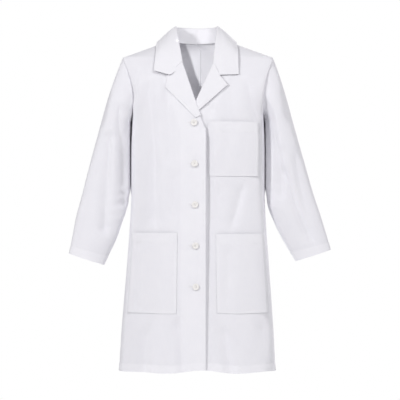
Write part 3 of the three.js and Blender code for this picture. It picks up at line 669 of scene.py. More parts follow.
for name, part in FRONTS.items():
    side = part["side"]
    rows = panel_rows(part["roll_end"])
    z = rows[:, None]
    outer = side * (side_edge(z) - FRONT_GAP)
    inner = angle_at(part["edge"](z), z)
    angle = outer + (inner - outer) * column_shares(PANEL_COLUMNS)[None, :]
    base = torso(angle, z)
    arc = arc_from_side(base)
    to_edge = np.abs(part["edge"](z) - base[..., 0])
    buttoned = smooth((part["roll_end"] - z) / 12)
    lift = front_lift(name, base[..., 0], z) + groove(arc, SEAM_WIDTH, SEAM_DEPTH)
    lift = lift + buttoned * (groove(to_edge - 6, 1.8, 0.4) - 0.5 * np.exp(-to_edge / 1.5))
    hem = in_hem(z)
    lift = lift + hem_relief(z, hem)
    facing = smooth(1 - (to_edge - abs(part["facing"] - part["edge"](-500))) / 3)
    doubled = np.maximum(0.6 * hem + 0 * arc, 0.35 * facing * smooth((-30 - z) / 10))
    points = run_under(cloth_point(angle, z, lift), z, side)
    doubled = np.pad(doubled, ((0, 0), (3, 0)), "edge")
    panel = sheet_object(f"front_panel_{name}", points, poplin, radial, CLOTH + 0.5 * doubled, doubled,
                         shown=level_light)
    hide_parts(*part["nodes"])
    part["bend"](panel)

    facing_rows = rows_between(-40, part["roll_end"], HEM_Z + 1)[:, None]
    free = part["edge"](facing_rows) + 1.2 * side
    upper = smooth((facing_rows - part["roll_end"]) / 60 + 1)
    back_edge = part["facing"] + (part["edge"](facing_rows) + 55 * side - part["facing"]) * upper
    x = back_edge + (free - back_edge) * np.linspace(0, 1, 16)[None, :]
    lining_points = on_front(x, facing_rows, front_lift(name, x, facing_rows) - 2.0)
    lining = sheet_object(f"facing_inside_{name}", lining_points, poplin_inside_shaded, radial)
    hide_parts(f"facing_{name}")
    part["bend"](lining)


# ---- lapels ----
def track(points):
    """X and Z against a share from 0 to 1, through (share, x, z) corners."""
    xs = polyline([(t, x) for t, x, _ in points])
    zs = polyline([(t, z) for t, _, z in points])
    return lambda t: (xs(t), zs(t))


LAPEL_ROLL_RADIUS = 2.2
LAPEL_TUCK = 12
LAPELS = {
    "right": dict(roll=track([(0, -46, -64), (0.7, -8, -175), (1, 6, -214)]),
                  free=track([(0, -84, -96), (0.2, -92, -133), (1, -6, -219)]),
                  corners=(0.2, 0.7), edge_lift=2.4, area=0.0105),
    "left": dict(roll=track([(0, 46, -64), (0.7, -5, -175), (1, -15, -198)]),
                 free=track([(0, 59, -99), (0.3, 83, -127), (1, -9, -208)]),
                 corners=(0.3, 0.7), edge_lift=5.6, area=0.0085),
}


def lapel_surface(name, share, d, lift):
    """A point d mm from the roll line towards the free edge, at this lift above the front."""
    x0, z0 = LAPELS[name]["roll"](share)
    x1, z1 = LAPELS[name]["free"](share)
    length = np.hypot(x1 - x0, z1 - z0)
    x = x0 + (x1 - x0) * d / length
    z = z0 + (z1 - z0) * d / length
    return on_front(x, z, front_lift(name, x, z) + lift)


def lapel_length(name, share):
    x0, z0 = LAPELS[name]["roll"](share)
    x1, z1 = LAPELS[name]["free"](share)
    return np.hypot(x1 - x0, z1 - z0)


for name, spec in LAPELS.items():
    shares = np.unique(np.concatenate([np.linspace(0, 1, 44), spec["corners"]]))[:, None]
    length = lapel_length(name, shares)
    r = LAPEL_ROLL_RADIUS
    turn = np.linspace(-np.pi / 2, np.pi / 2, 9)[None, :]
    flat = np.linspace(0, 1, 20)[None, 1:]
    tuck = np.minimum(LAPEL_TUCK, 0.8 * length) * np.linspace(1, 0.1, 4)[None, :]
    d = np.concatenate([tuck, -r * np.cos(turn) + 0 * length, length * flat], 1)
    crown = 0.4 + r
    settle = crown + (spec["edge_lift"] - crown) * smooth(flat * 1.3) + 1.6 * np.sin(np.pi * flat) * (length / 90)
    lift = np.concatenate([0.4 - r + 0 * tuck, 0.4 + r * np.sin(turn) + 0 * length, settle + 0 * length], 1)
    from_edge = np.concatenate([99 + 0 * tuck, 99 + 0 * turn + 0 * length, length * (1 - flat)], 1)
    lift = lift + edge_stitching(from_edge)
    points = lapel_surface(name, shares, d, lift)
    lapel = sheet_object(f"lapel_fold_{name}", points, poplin_crisp_shaded, lambda p: np.where(
        (np.arange(p.shape[1]) > 12)[None, :, None], radial(p), 0 * p), 1.7, np.ones(points.shape[:2]))
    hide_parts(f"lapel_{name}")
    FRONTS[name]["bend"](lapel)


# ---- collar ----
# Rails from the middle of the back (share 0) over the shoulder to the front end (share 1).
neck_seam = rail([[0, 58, 3], [40, 48.5, 5], [68, 21, 8], [71, -8, 7], [62, -40, -14], [46, -85, -71]])
roll_line = rail([[0, 66, 42], [33, 56, 43], [53, 24, 43], [56, -8, 41], [51, -54, -4], [44, -91, -73]])
fall_middle = rail([[0, 79, 19], [50, 69, 19], [80, 34, 20], [83, -4, 19], [83, -58, -18], [60, -104, -99]])
fall_edge = rail([[0, 87, -18], [58, 80, -16], [101, 42, -8], [108, -2, -2], [112, -66, -38], [114, -96, -97]])
COLLAR_COLUMNS, COLLAR_STEPS = 61, 46
COLLAR_HALF_LENGTH, COLLAR_STEP = 240, 1.9     # half its length, and the spacing of its rows
STAND_INSET = 3


def on_rail(curve, share):
    """A rail point at a share from -1, the right front end, to 1, the left one."""
    side = np.where(share < 0, -1, 1)
    s = np.abs(share)
    p = curve(s)
    x = p[..., 0] * side
    y = p[..., 1] - np.where(side < 0, lap_lift(x) * smooth((s - 0.6) / 0.3), 0)
    wide = np.where(side < 0, 7 * smooth(s / 0.5) * smooth((1.02 - s) / 0.34), 0)     # the right side lies opener
    point = np.where(side < 0, smooth((s - 0.75) / 0.25) * smooth((np.abs(x) - 60) / 50), 0)
    end = np.where(side < 0, smooth((s - 0.7) / 0.3), 0) * (curve is fall_middle)
    return np.stack([x - wide - 9 * point - 18 * end, y, p[..., 2] + 10 * point], -1)


def collar_across(share):
    """The collar's section at each share: seam allowance, stand, roll, then the fall, evenly spaced."""
    side, s = np.where(share < 0, -1, 1), np.abs(share)
    seam, roll = on_rail(neck_seam, share), on_rail(roll_line, share)
    middle, edge = on_rail(fall_middle, share), on_rail(fall_edge, share)
    inset = np.stack([-side * STAND_INSET * np.minimum(2 * s, 1), -STAND_INSET * (1 - s), 0 * s - 1.5], -1)
    top = roll + inset
    front = smooth((s - 0.5) / 0.3)
    tuck = seam + np.stack([-side * 1.5 * s, 5.0 * front - 1.0, -6.0 + 0 * s], -1)

    crisp = smooth((s - 0.82) / 0.16)[:, None]     # the front end has a real corner where it meets the lapel

    def fall(w):
        curved = roll * (2 * (w - 0.5) * (w - 1)) + middle * (4 * w * (1 - w)) + edge * (2 * w * (w - 0.5))
        straight = roll + (middle - roll) * 2 * w if w < 0.5 else middle + (edge - middle) * (2 * w - 1)
        return curved + (straight - curved) * crisp

    crest = roll + np.array([0, 0, 2.2]) + 0.3 * inset
    knots = [tuck, seam + (top - seam) * 0.05, seam + (top - seam) * 0.5, top, crest,
             fall(0.15), fall(0.33), fall(0.5), fall(0.75), fall(1.0)]
    knots = np.stack(knots, 1)
    dense = np.concatenate([knots[:, i:i + 1] + (knots[:, i + 1:i + 2] - knots[:, i:i + 1])
                            * np.linspace(0, 1, 12, endpoint=False)[None, :, None] for i in range(9)]
                           + [knots[:, -1:]], 1)
    sharp = crisp[..., None] * 0.93 * smooth((np.arange(dense.shape[1]) - 66) / 10)[None, :, None]
    for _ in range(26):
        even = (dense[:, :-2] + 2 * dense[:, 1:-1] + dense[:, 2:]) / 4
        dense[:, 1:-1] = even + (dense[:, 1:-1] - even) * sharp[:, 1:-1]
    step = np.linalg.norm(np.diff(dense, axis=1), axis=-1)
    along = np.concatenate([np.zeros((len(dense), 1)), np.cumsum(step, 1)], 1)
    out = np.empty((len(dense), COLLAR_STEPS, 3))
    for i, (line, a) in enumerate(zip(dense, along)):
        even = np.linspace(0, a[-1], COLLAR_STEPS)
        out[i] = np.stack([np.interp(even, a, line[:, k]) for k in range(3)], -1)
    return out.transpose(1, 0, 2)


COLLAR_OUT = np.array([0, -5, 60])     # with the level part of a point, the way out of the fall


def off_collar(p, n):
    """Normals n at the collar points p, turned to point away from the neck."""
    return n * np.sign((n * (p * [1, 1, 0] + COLLAR_OUT)).sum(-1))[:, None]


collar_shares = np.linspace(-1, 1, 2 * COLLAR_COLUMNS - 1)
collar_points = collar_across(collar_shares)
drop = smooth((-collar_points[..., 2] - 30) / 60)
collar_points[..., 1] -= drop * drape(collar_points)
collar_normals = grid_normals(collar_points)
fall_rows = np.arange(COLLAR_STEPS) > 30
if (collar_normals[fall_rows] * (collar_points[fall_rows] * [1, 1, 0] + COLLAR_OUT)).sum(-1).mean() < 0:
    collar_normals = -collar_normals
to_fall = smooth((np.arange(COLLAR_STEPS) / (COLLAR_STEPS - 1) - 0.42) / 0.15)[:, None]
end_distance = (1 - np.abs(collar_shares))[None, :] * COLLAR_HALF_LENGTH
edge_distance = ((COLLAR_STEPS - 1 - np.arange(COLLAR_STEPS)) * COLLAR_STEP)[:, None]
nearest = np.minimum(end_distance, edge_distance + 0 * end_distance)
collar_lift = 1.8 * to_fall + to_fall * edge_stitching(nearest)
collar_points = collar_points + collar_normals * collar_lift[..., None]
collar_normals = grid_normals(collar_points)
for name, side in (("right", -1), ("left", 1)):
    half = slice(0, COLLAR_COLUMNS) if side < 0 else slice(COLLAR_COLUMNS - 1, None)
    p, n = collar_points[:, half], collar_normals[:, half]
    away = np.where(fall_rows[:, None, None], radial(p) + COLLAR_OUT, 0)
    collar = sheet_object(f"collar_{name}", p, poplin_crisp_shaded, lambda _: away, 1.9, np.ones(p.shape[:2]),
                          normals=n, shown=lambda n, p: n)
    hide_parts("upper_collar_back", "under_collar_back", "collar_stand_back", "collar_interlining",
                f"upper_collar_{name}", f"under_collar_{name}", f"collar_stand_{name}")
    FRONTS[name]["bend"](collar)


# ---- pockets ----
POCKET_HEM = 28
POCKETS = {
    "chest_pocket": dict(top=(28, 168), bottom=(28, 168), z=(-229, -382), front="left", flat=(0.158, 0.157)),
    "hip_pocket_left": dict(top=(50, 182), bottom=(53, 196), z=(-544, -766), front="left", flat=(0.162, 0.228)),
    "hip_pocket_right": dict(top=(-57, -182), bottom=(-59, -196), z=(-541, -766), front="right", flat=(0.158, 0.23)),
}


def pocket_surface(name, u, v, extra=0.0):
    spec = POCKETS[name]
    u, v = np.broadcast_arrays(u, v)
    z = spec["z"][0] + (spec["z"][1] - spec["z"][0]) * v
    a = spec["top"][0] + (spec["bottom"][0] - spec["top"][0]) * v
    b = spec["top"][1] + (spec["bottom"][1] - spec["top"][1]) * v
    x = a + (b - a) * u
    open_mouth = np.maximum(1 - (2 * u - 1) ** 4, 0) * (1 - np.clip(v, 0, 1) ** 3)
    edge = np.minimum(np.minimum(u, 1 - u) * abs(b - a), (1 - v) * abs(spec["z"][1] - spec["z"][0]))
    stitched = groove(edge - 2.0, 1.6, 0.35)
    return on_front(x, z, front_lift(spec["front"], x, z) + 1.25 + 3.6 * open_mouth + stitched + extra)


for name, spec in POCKETS.items():
    tall, wide = abs(spec["z"][1] - spec["z"][0]), abs(spec["top"][1] - spec["top"][0])
    hem_v = POCKET_HEM / tall
    v = np.concatenate([np.linspace(0, hem_v, 8), np.linspace(hem_v, 1 - 3 / tall, round(tall / 5)), [1]])
    v = np.unique(v)[:, None]
    u = np.concatenate([[0, 1.5 / wide, 3 / wide], np.linspace(5 / wide, 1 - 5 / wide, round(wide / 4)),
                        [1 - 3 / wide, 1 - 1.5 / wide, 1]])[None, :]
    hem = smooth((hem_v + 0.004 - v) / 0.008)
    crease = groove((v - hem_v) * tall, 1.8, 0.4) + 0.35 * hem
    points = pocket_surface(name, u, v, crease + 0 * u)
    rim = np.minimum(np.minimum(u, 1 - u) * wide, (1 - v) * tall)
    doubled = np.maximum(hem + 0 * u, smooth((8 - rim) / 2))
    pocket = sheet_object(f"{name}_cloth", points, poplin_crisp_shaded, radial, CLOTH + 0.5 * doubled, 0.7 * doubled,
                          shown=level_light)
    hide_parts(name, f"{name}_hem")
    FRONTS[spec["front"]]["bend"](pocket)


# ---- sleeves ----
# Each station: the sleeve's outer and inner point in (x, z), and half its depth from front to back.
STATIONS = [
    ((SHOULDER_HALF_WIDTH, SHOULDER_Z), (ARMPIT_HALF_WIDTH, ARMPIT_Z), 65),
    ((233, -104), (191, -222), 72),
    ((251, -163), (197, -243), 75),
    ((277, -258), (198, -300), 72),
    ((303, -350), (198, -385), 64),
    ((325, -427), (199, -458), 56),
    ((345, -487), (219, -513), 51),
    ((359, -532), (240, -556), 47),
    ((376, -590), (279, -621), 42),
]
CAP_END, CUFF_END, CUFF_START = 2, 8, 7.62     # in stations, as are the elbow's
STATION_LENGTH = 75.0
ELBOW_START, ELBOW_SPLIT = 4.6, 4.3
ARMHOLE_SKEW = 3
SLEEVE_COLUMNS = 96
HANG = {"left": (0, 0, 0), "right": (8, 11, 11)}     # how far each sleeve bows out, drops and draws in
outer_x = profile([(i, a[0]) for i, (a, _, _) in enumerate(STATIONS)])
outer_z = profile([(i, a[1]) for i, (a, _, _) in enumerate(STATIONS)])
inner_x = profile([(i, b[0]) for i, (_, b, _) in enumerate(STATIONS)])
inner_z = profile([(i, b[1]) for i, (_, b, _) in enumerate(STATIONS)])
sleeve_depth = profile([(i, d) for i, (_, _, d) in enumerate(STATIONS)])

SLEEVE_FOLDS = {
    "right": [
        ([(-165, -224), (-250, -215), (-327, -209), (-420, -207), (-490, -210)], 22, 12, 4.2),
        ([(-245, -250), (-420, -258), (-560, -262)], 20, 12, 4.6),
        ([(-130, -262), (-190, -268), (-260, -270)], 14, 14, 1.6),
    ],
    "left": [
        ([(-345, 238), (-420, 262), (-500, 292), (-575, 322)], 18, 8, 4.0),
        ([(-300, 270), (-420, 292), (-533, 317), (-600, 334)], 12, 12, 2.0),
        ([(-290, 232), (-380, 233), (-457, 236)], 12, 12, 2.5),
        ([(-120, 236), (-180, 246), (-250, 258)], 14, 14, 1.8),
    ],
}


def sleeve_base(name, s, turn):
    side = -1 if name == "right" else 1
    bow, sink, draw = HANG[name]
    share = s / CUFF_END
    push = bow * np.sin(np.pi * share) - draw * share ** 2
    drop_z = sink * share ** 2
    inner_push = push * smooth(s - ELBOW_START)
    outer = np.stack([outer_x(s) + push, 0 * s, outer_z(s) - drop_z], -1)
    inner = np.stack([inner_x(s) + inner_push, 0 * s, inner_z(s) - drop_z], -1)
    p = (outer + inner) / 2 + (outer - inner) / 2 * np.cos(turn)[..., None]
    armhole = np.clip(1 - s / CAP_END, 0, 1)
    backward = np.where(np.sin(turn) > 0, 1, -1)
    depth = sleeve_depth(s) + backward * ARMHOLE_SKEW * np.maximum(1 - s, 0)
    y = depth * np.sin(turn)
    x = p[..., 0] - ARMHOLE_BOW * armhole * np.sin(np.pi * (1 - np.cos(turn)) / 2)
    return np.stack([x * side, y, p[..., 2]], -1)


def sleeve_drape(name, p, s, turn):
    front = smooth((-p[..., 1] - 6) / 22)
    back = smooth((p[..., 1] - 6) / 22)
    out = 0
    for path, left, right, depth in SLEEVE_FOLDS[name]:
        shape = valley(p[..., 0], p[..., 2], path, left, right, depth, fade=35)
        out = out + FOLD_DEPTH * shape * (front + 0.8 * back)
    around = np.degrees(turn) * 1.1
    out = out + ripples(around, p[..., 2], 41 if name == "right" else 43, (99, 132, 198), 2.2)
    inside = smooth((-np.cos(turn) + 0.1) / 0.7)
    crush = np.sin(2 * np.pi * (p[..., 2] + 0.45 * np.abs(p[..., 1])) / 31) * np.exp(-((s - 5.1) / 1.1) ** 2)
    under = np.sin(2 * np.pi * (p[..., 2] - 0.5 * np.abs(p[..., 1])) / 37) * np.exp(-((s - 1.7) / 0.9) ** 2)
    ease = 0.5 * np.sin(turn * 17) * smooth(np.cos(turn) + 0.2) * np.exp(-s / 0.22)
    wander = 0.5 + 0.5 * np.sin(p[..., 2] / 47 + turn * 1.3)
    out = out + inside * wander * (0.75 * crush + 0.9 * under)
    beside_body = inside * smooth((34 - p[..., 1]) / 20) * smooth((p[..., 1] + 46) / 24)
    out = out + 4.5 * beside_body * smooth((-214 - p[..., 2]) / 30) * smooth((p[..., 2] + 450) / 50)
    if name == "left":       # this sleeve's inner front falls back behind the side of the body
        behind = smooth((-np.cos(turn) - 0.05) / 0.5) * smooth((-p[..., 1] - 8) / 16)
        out = out - 8.0 * behind * smooth((-66 - p[..., 2]) / 50) * smooth((p[..., 2] + 470) / 60)
    return smooth(s / 0.5) * smooth((CUFF_END + 0.25 - s) / 0.9) * out + ease


def sleeve_grid(name):
    side = -1 if name == "right" else 1
    s = np.concatenate([[0, 0.02, 0.05, 0.09], np.linspace(0.13, ELBOW_SPLIT, 70),
                        np.linspace(ELBOW_SPLIT + 0.05, CUFF_START - 0.05, 50),
                        [CUFF_START, CUFF_START + 0.05], np.linspace(CUFF_START + 0.1, CUFF_END, 5)])[:, None]
    turn = (-side * np.arange(SLEEVE_COLUMNS) / SLEEVE_COLUMNS * 2 * np.pi)[None, :]
    s, turn = np.broadcast_arrays(s, turn)
    p = sleeve_base(name, s, turn)
    n = grid_normals(p, wrap=True)
    middle = p.mean(1, keepdims=True)
    if ((p - middle) * n).sum(-1).mean() < 0:
        n = -n
    base = n
    hem = smooth((s - CUFF_START) / 0.04)
    lift = LAYER + sleeve_drape(name, p, s, turn) + groove(s * STATION_LENGTH, SEAM_WIDTH, SEAM_DEPTH)
    lift = lift + groove((s - CUFF_START) * STATION_LENGTH, 2.0, 0.4) + 0.4 * hem
    p = p + n * lift[..., None]
    ring = p[:1]
    centre = ring.mean(1, keepdims=True)
    tucks = [ring + (centre - ring) * shrink + np.array([-side * shift, 0, 0])
             for shrink, shift in ((0.08, 7.0), (0.03, 2.5))]
    p = np.concatenate(tucks + [p])
    hem = np.concatenate([0 * hem[:2], hem])
    s = np.concatenate([s[:2] * 0 - 0.1, s])
    n = grid_normals(p, wrap=True)
    if ((p[30:] - p[30:].mean(1, keepdims=True)) * n[30:]).sum(-1).mean() < 0:
        n = -n
    base = np.concatenate([base[:1], base[:1], base])
    return p, n, s[:, 0], hem, base


sleeve_grids = {}
for name, side in (("right", -1), ("left", 1)):
    p, n, s, hem, base = sleeve_grid(name)
    sleeve_grids[name] = p, n, s
    split = int(np.searchsorted(s, ELBOW_SPLIT - 0.001))
    for part, rows in (("upper", slice(0, split + 1)), ("lower", slice(split, None))):
        piece_p, piece_n, piece_base = p[rows], n[rows], base[rows]
        sleeve = sheet_object(f"sleeve_{part}_{name}", piece_p, poplin, lambda _: piece_n, CLOTH + 0.8 * hem[rows],
                              0.5 * hem[rows], wrap=True, normals=piece_n, shown=lambda n, p: turned_forward(
                                  n, piece_base, SLEEVE_LEVEL * smooth((-p[..., 1] - 4) / 20)))
        if part == "upper":
            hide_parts(f"sleeve_head_{name}", f"upper_sleeve_{name}")
            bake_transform(sleeve)
        else:
            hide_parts(f"elbow_cloth_{name}", f"lower_sleeve_{name}", f"cuff_hem_{name}")
            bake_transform(sleeve)


# ---- buttons ----
def ring_quads(rings, around):
    """Faces that join each ring of points to the next."""
    return [(i * around + k, i * around + (k + 1) % around, (i + 1) * around + (k + 1) % around, (i + 1) * around + k)
            for i in range(rings - 1) for k in range(around)]


def button_mesh(name, place):
    """A four-hole shirt-style button: rounded rim, dished middle, real holes."""
    r, t = BUTTON_RADIUS, BUTTON_THICKNESS
    outline = [(0.0, 0.15), (r - 2.2, 0.1), (r - 1.0, 0.35), (r - 0.25, 1.0), (r, 1.6), (r - 0.15, 2.2),
               (r - 0.6, 2.75), (r - 1.3, t), (r - 2.0, t - 0.05), (r - 2.9, t - 0.25), (r - 3.8, t - 0.6),
               (r - 5.0, t - 0.8), (0.0, t - 0.85)]     # (radius, height from the back)
    around = 56
    verts = []
    for radius, height in outline[1:-1]:
        for k in range(around):
            a = 2 * math.pi * k / around
            verts.append((radius * math.cos(a), -height, radius * math.sin(a)))
    rings = len(outline) - 2
    faces = ring_quads(rings, around)
    low = len(verts)
    verts.append((0, -outline[0][1], 0))
    verts.append((0, -outline[-1][1], 0))
    for k in range(around):
        faces.append((low, (k + 1) % around, k))
        last = (rings - 1) * around
        faces.append((low + 1, last + k, last + (k + 1) % around))
    verts = np.array(verts) + np.array(place)
    button = new_object(name, verts, faces, pearl)
    for k in range(4):
        a = (k + 0.5) * math.pi / 2
        bpy.ops.mesh.primitive_cylinder_add(vertices=16, radius=0.0007, depth=0.02,
                                            location=mm(place[0] + HOLE_OFFSET * math.cos(a), place[1],
                                                        place[2] + HOLE_OFFSET * math.sin(a)),
                                            rotation=(math.pi / 2, 0, 0))
        drill = bpy.context.object
        cut = button.modifiers.new("hole", "BOOLEAN")
        cut.operation = "DIFFERENCE"
        cut.solver = "EXACT"
        cut.object = drill
        bpy.context.view_layer.objects.active = button
        bpy.ops.object.modifier_apply(modifier=cut.name)
        bpy.data.objects.remove(drill)
    return button


def tube_mesh(name, path, radius, material, sides=10):
    """A round thread along the path, closed at both ends."""
    path = np.asarray(path, float)
    tangent = np.gradient(path, axis=0)
    tangent /= np.linalg.norm(tangent, axis=1, keepdims=True)
    helper = np.array([0.3, 0.2, 0.93])
    u = np.cross(tangent, helper)
    u /= np.linalg.norm(u, axis=1, keepdims=True)
    w = np.cross(tangent, u)
    a = np.linspace(0, 2 * np.pi, sides, endpoint=False)
    radius = np.broadcast_to(radius, len(path))
    verts = path[:, None] + radius[:, None, None] * (u[:, None] * np.cos(a)[None, :, None]
                                                     + w[:, None] * np.sin(a)[None, :, None])
    faces = ring_quads(len(path), sides)
    faces.append(tuple(range(sides))[::-1])
    faces.append(tuple((len(path) - 1) * sides + k for k in range(sides)))
    return new_object(name, verts.reshape(-1, 3), faces, material)


def joined(name, objects):
    with bpy.context.temp_override(active_object=objects[0], object=objects[0], selected_objects=objects,
                                   selected_editable_objects=objects):
        bpy.ops.object.join()
    objects[0].name = name
    objects[0].data.name = name
    return objects[0]


for i, (x, z) in enumerate(BUTTONS):
    back = float(torso(angle_at(x, z), z)[1]) - BUTTON_STAND
    button = button_mesh(f"pearl_button_{i + 1}", (x, back, z))
    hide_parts(f"button_{i + 1}")
    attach(button, f"button_{i + 1}")
    face = back - 2.15
    legs = []
    for sign in (1, -1):
        a = sign * math.pi / 4
        dx, dz = HOLE_OFFSET * math.cos(a), HOLE_OFFSET * math.sin(a)
        top = face - 0.75 - 0.25 * sign
        over = [(x + dx * share, y, z + dz * share) for share, y in (
            (-1, face + 1.2), (-0.93, face - 0.25), (-0.4, top), (0.4, top), (0.93, face - 0.25), (1, face + 1.2))]
        legs += [tube_mesh("strand", np.array(over) + [o * math.sin(a), 0, -o * math.cos(a)], 0.34, button_thread, 8)
                 for o in (-0.3, 0.3)]
    cross = joined(f"button_cross_stitch_{i + 1}", legs)
    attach(cross, f"button_{i + 1}")
    base = float(torso(angle_at(x, z), z)[1]) - LAYER - 0.2
    turns = np.linspace(0, 1, 90)
    coil = np.stack([x + 1.05 * np.cos(turns * 44), base + (back + 0.1 - base) * turns,
                     z + 1.05 * np.sin(turns * 44)], -1)
    shank = joined(f"button_shank_{i + 1}", [
        tube_mesh("core", [(x, base, z), (x, (base + back) / 2, z), (x, back + 0.1, z)], 0.95, button_thread),
        tube_mesh("wrap", coil, 0.26, button_thread, 6)])
    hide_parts(f"button_thread_{i + 1}")
    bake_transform(shank)


# ---- stitching ----
def front_face(name, x, z, stand):
    return on_front(x, z, front_lift(name, x, z) + stand)


def front_line(name, x, z, stand=1.0):
    p = front_face(name, x, z, stand - 0.25)
    n = front_face(name, x, z, stand + 0.75) - p
    return p, n


for name, part in FRONTS.items():
    side = part["side"]
    z = np.arange(part["roll_end"] - 8, HEM_Z + 2, -LINE_STEP)
    paths = [front_line(name, part["edge"](z) + TOPSTITCH * side, z, 0.75)]
    x = np.arange(part["edge"](HEM_Z + 2) + 2 * side, side * 214, LINE_STEP * side)
    paths.append(front_line(name, x, 0 * x + HEM_Z + HEM_BAND, 0.6))
    z = np.arange(-50, ARMPIT_Z - 2, -LINE_STEP)
    paths.append(front_line(name, side * (np.sin(side_edge(z)) * half_width(z) - 7.5), z, 0.6))
    seam = stitches(f"front_stitches_{name}", paths, sewing_thread)
    part["bend"](seam)

for side, name in ((-1, "right"), (1, "left")):
    angle = np.linspace(side_edge(HEM_Z) + 0.02, np.pi - 0.03, 190) * side
    z = np.full_like(angle, HEM_Z + HEM_BAND)
    p, q = cloth_point(angle, z, LAYER + 0.4 + 0 * z), cloth_point(angle, z, LAYER + 1.4 + 0 * z)
    seam = stitches(f"back_hem_stitches_{name}", [(p, q - p)], sewing_thread)
    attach(seam, "torso")

for name, spec in POCKETS.items():
    tall, wide = abs(spec["z"][1] - spec["z"][0]), abs(spec["top"][1] - spec["top"][0])
    paths = []

    def pocket_line(u, v):
        p = pocket_surface(name, u, v, 0.45)
        return p, pocket_surface(name, u, v, 1.45) - p

    for inset in (2.0, 7.5):
        v = np.arange(0.004, 1 - inset / tall, LINE_STEP / tall)
        for u in (inset / wide, 1 - inset / wide):
            paths.append(pocket_line(u + 0 * v, v))
        u = np.arange(inset / wide, 1 - inset / wide, LINE_STEP / wide)
        paths.append(pocket_line(u, 0 * u + 1 - inset / tall))
    u = np.arange(0.02, 0.98, LINE_STEP / wide)
    paths.append(pocket_line(u, 0 * u + POCKET_HEM / tall))
    seam = stitches(f"{name}_stitches", paths, sewing_thread)
    FRONTS[spec["front"]]["bend"](seam)

for name, spec in LAPELS.items():
    share = np.linspace(0.02, 0.97, 170)
    length = lapel_length(name, share)
    p = lapel_surface(name, share, length - TOPSTITCH, spec["edge_lift"] + 0.85)
    q = lapel_surface(name, share, length - TOPSTITCH, spec["edge_lift"] + 1.85)
    seam = stitches(f"lapel_stitches_{name}", [(p, q - p)], sewing_thread)
    FRONTS[name]["bend"](seam)

for name, side in (("right", -1), ("left", 1)):
    half = slice(0, COLLAR_COLUMNS) if side < 0 else slice(COLLAR_COLUMNS - 1, None)
    row = COLLAR_STEPS - 4
    line_p = collar_points[row, half]
    n = off_collar(line_p, collar_normals[row, half])
    near_end = (1 - np.abs(collar_shares[half])) * COLLAR_HALF_LENGTH > 7
    edge_path = ((line_p + n * 1.0)[near_end], n[near_end])
    end_column = 2 if side < 0 else len(collar_shares) - 3
    end_rows = np.arange(26, COLLAR_STEPS - 3)
    end_p = collar_points[end_rows, end_column]
    end_n = off_collar(end_p, collar_normals[end_rows, end_column])
    seam = stitches(f"collar_stitches_{name}", [edge_path, (end_p + end_n * 1.0, end_n)], sewing_thread)
    FRONTS[name]["bend"](seam)

    p, n, s = sleeve_grids[name]
    row = int(np.argmin(np.abs(s - CUFF_START)))
    ring, ring_n = np.concatenate([p[row], p[row, :1]]), np.concatenate([n[row], n[row, :1]])
    seam = stitches(f"cuff_stitches_{name}", [(ring + ring_n * 0.5, ring_n)], sewing_thread)
    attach(seam, f"{name}_lower_sleeve")


STRAND_STEP = 0.42


def buttonhole(i, x, z):
    """Two satin-stitched bars, tacked at both ends, with the dark slit between them."""
    strands = [[(x + k, z + dz - 0.75), (x + k, z + dz + 0.75)]
               for k in np.arange(-17, 4.2, STRAND_STEP) for dz in (0.95, -0.95)]
    strands += [[(x + k - 0.9, z + dz), (x + k + 0.9, z + dz)]
                for dz in np.arange(-1.5, 1.6, STRAND_STEP) for k in (-17.8, 4.6)]
    ends = np.array(strands)
    p = front_face("right", ends[..., 0], ends[..., 1], 0.85)
    n = front_face("right", ends[..., 0], ends[..., 1], 1.9) - p
    return stitch_object(f"buttonhole_{i + 1}", stitch_verts(p[:, 0], p[:, 1], n.mean(1), 0.22, 0.16), sewing_thread)


for i, (x, z) in enumerate(BUTTONS):
    worked = buttonhole(i, x, z)
    bend_right_front(worked)


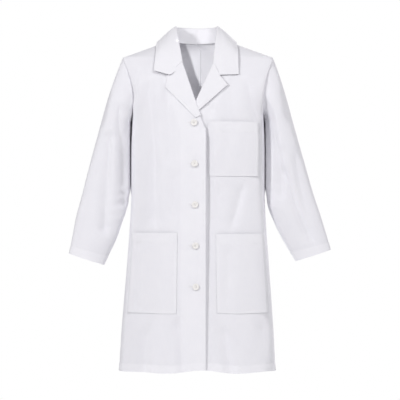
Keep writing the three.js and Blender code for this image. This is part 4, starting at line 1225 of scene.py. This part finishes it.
# ---- stage ----
def stage_and_lights():
    scene = bpy.context.scene
    floor_material, tree, shader = new_material("studio_floor")
    place = tree.nodes.new("ShaderNodeTexCoord").outputs["Object"]
    link(tree, colour_ramp(tree, noise(tree, place, 9.0, 2.0), (0.93, 0.93, 0.93), (0.95, 0.95, 0.95)),
         shader.inputs["Base Color"])
    shader.inputs["Roughness"].default_value = 0.9
    bpy.ops.mesh.primitive_cylinder_add(vertices=128, radius=2.4, depth=0.02, location=(0, 0, -1.5))
    floor = bpy.context.object
    floor.name = "studio_floor"
    floor.data.materials.append(floor_material)

    world = bpy.data.worlds.new("studio")
    scene.world = world
    world.use_nodes = True
    nodes, links = world.node_tree.nodes, world.node_tree.links
    ambient = nodes["Background"]
    ambient.inputs["Color"].default_value = (0.985, 0.98, 1.0, 1)
    ambient.inputs["Strength"].default_value = 0.358
    backdrop = nodes.new("ShaderNodeBackground")
    backdrop.inputs["Color"].default_value = (1, 1, 1, 1)
    backdrop.inputs["Strength"].default_value = 1.0
    path = nodes.new("ShaderNodeLightPath")
    mix = nodes.new("ShaderNodeMixShader")
    links.new(path.outputs["Is Camera Ray"], mix.inputs[0])
    links.new(ambient.outputs[0], mix.inputs[1])
    links.new(backdrop.outputs[0], mix.inputs[2])
    links.new(mix.outputs[0], nodes["World Output"].inputs["Surface"])

    def shine(label, kind, place, aim, power, only=None, **settings):
        """A light at place, aimed at aim, that may be limited to a few objects."""
        data = bpy.data.lights.new(label, kind)
        data.energy = power
        for key, value in settings.items():
            setattr(data, key, value)
        light = bpy.data.objects.new(label, data)
        light.location = place
        light.rotation_euler = (Vector(aim) - Vector(place)).to_track_quat("-Z", "Y").to_euler()
        light.visible_camera = kind != "AREA"
        if only:
            lit = bpy.data.collections.new(f"lit_by_{label}")
            for name in only:
                lit.objects.link(bpy.data.objects[name])
            light.light_linking.receiver_collection = lit
        scene.collection.objects.link(light)

    for label, place, aim, size, power in (
            ("key", (-2.4, -2.85, 1.05), (0, 0, -0.30), 0.45, 66.0),
            ("front", (1.2, -2.7, 1.75), (0, 0, -0.15), 1.0, 36.0),
            ("back", (1.2, 4.2, 1.4), (0, 0, -0.45), 1.8, 135.0),
            ("side", (4.0, -0.9, 0.6), (0, 0, -0.45), 1.6, 26.0),
            ("inner", (0.02, -0.03, -0.30), (0.0, 0.09, -0.06), 0.09, 0.06)):
        shine(label, "AREA", place, aim, power, shape="SQUARE", size=size, color=(1.0, 0.99, 1.0))

    # a narrow beam through the neck opening lights the inside of the back, and a small light the collar stand
    shine("neck", "SPOT", (-0.9, -4.9, 0.42), (0.012, 0.05, -0.07), 650.0, ("back_panel_right", "back_panel_left"),
          spot_size=math.radians(3.4), spot_blend=0.35, shadow_soft_size=0.1)
    shine("stand", "AREA", (-0.015, -0.045, -0.035), (0, 0.07, 0.02), 0.024, ("collar_right", "collar_left"),
          shape="SQUARE", size=0.09)

    camera_data = bpy.data.cameras.new("camera")
    camera_data.lens = 221.6
    camera_data.sensor_width = 36
    camera = bpy.data.objects.new("camera", camera_data)
    camera.location = (0.0057, -7.0, -0.4486)
    camera.rotation_euler = (math.pi / 2, 0, 0)
    scene.collection.objects.link(camera)
    scene.camera = camera
    scene.view_settings.view_transform = "Standard"


stage_and_lights()
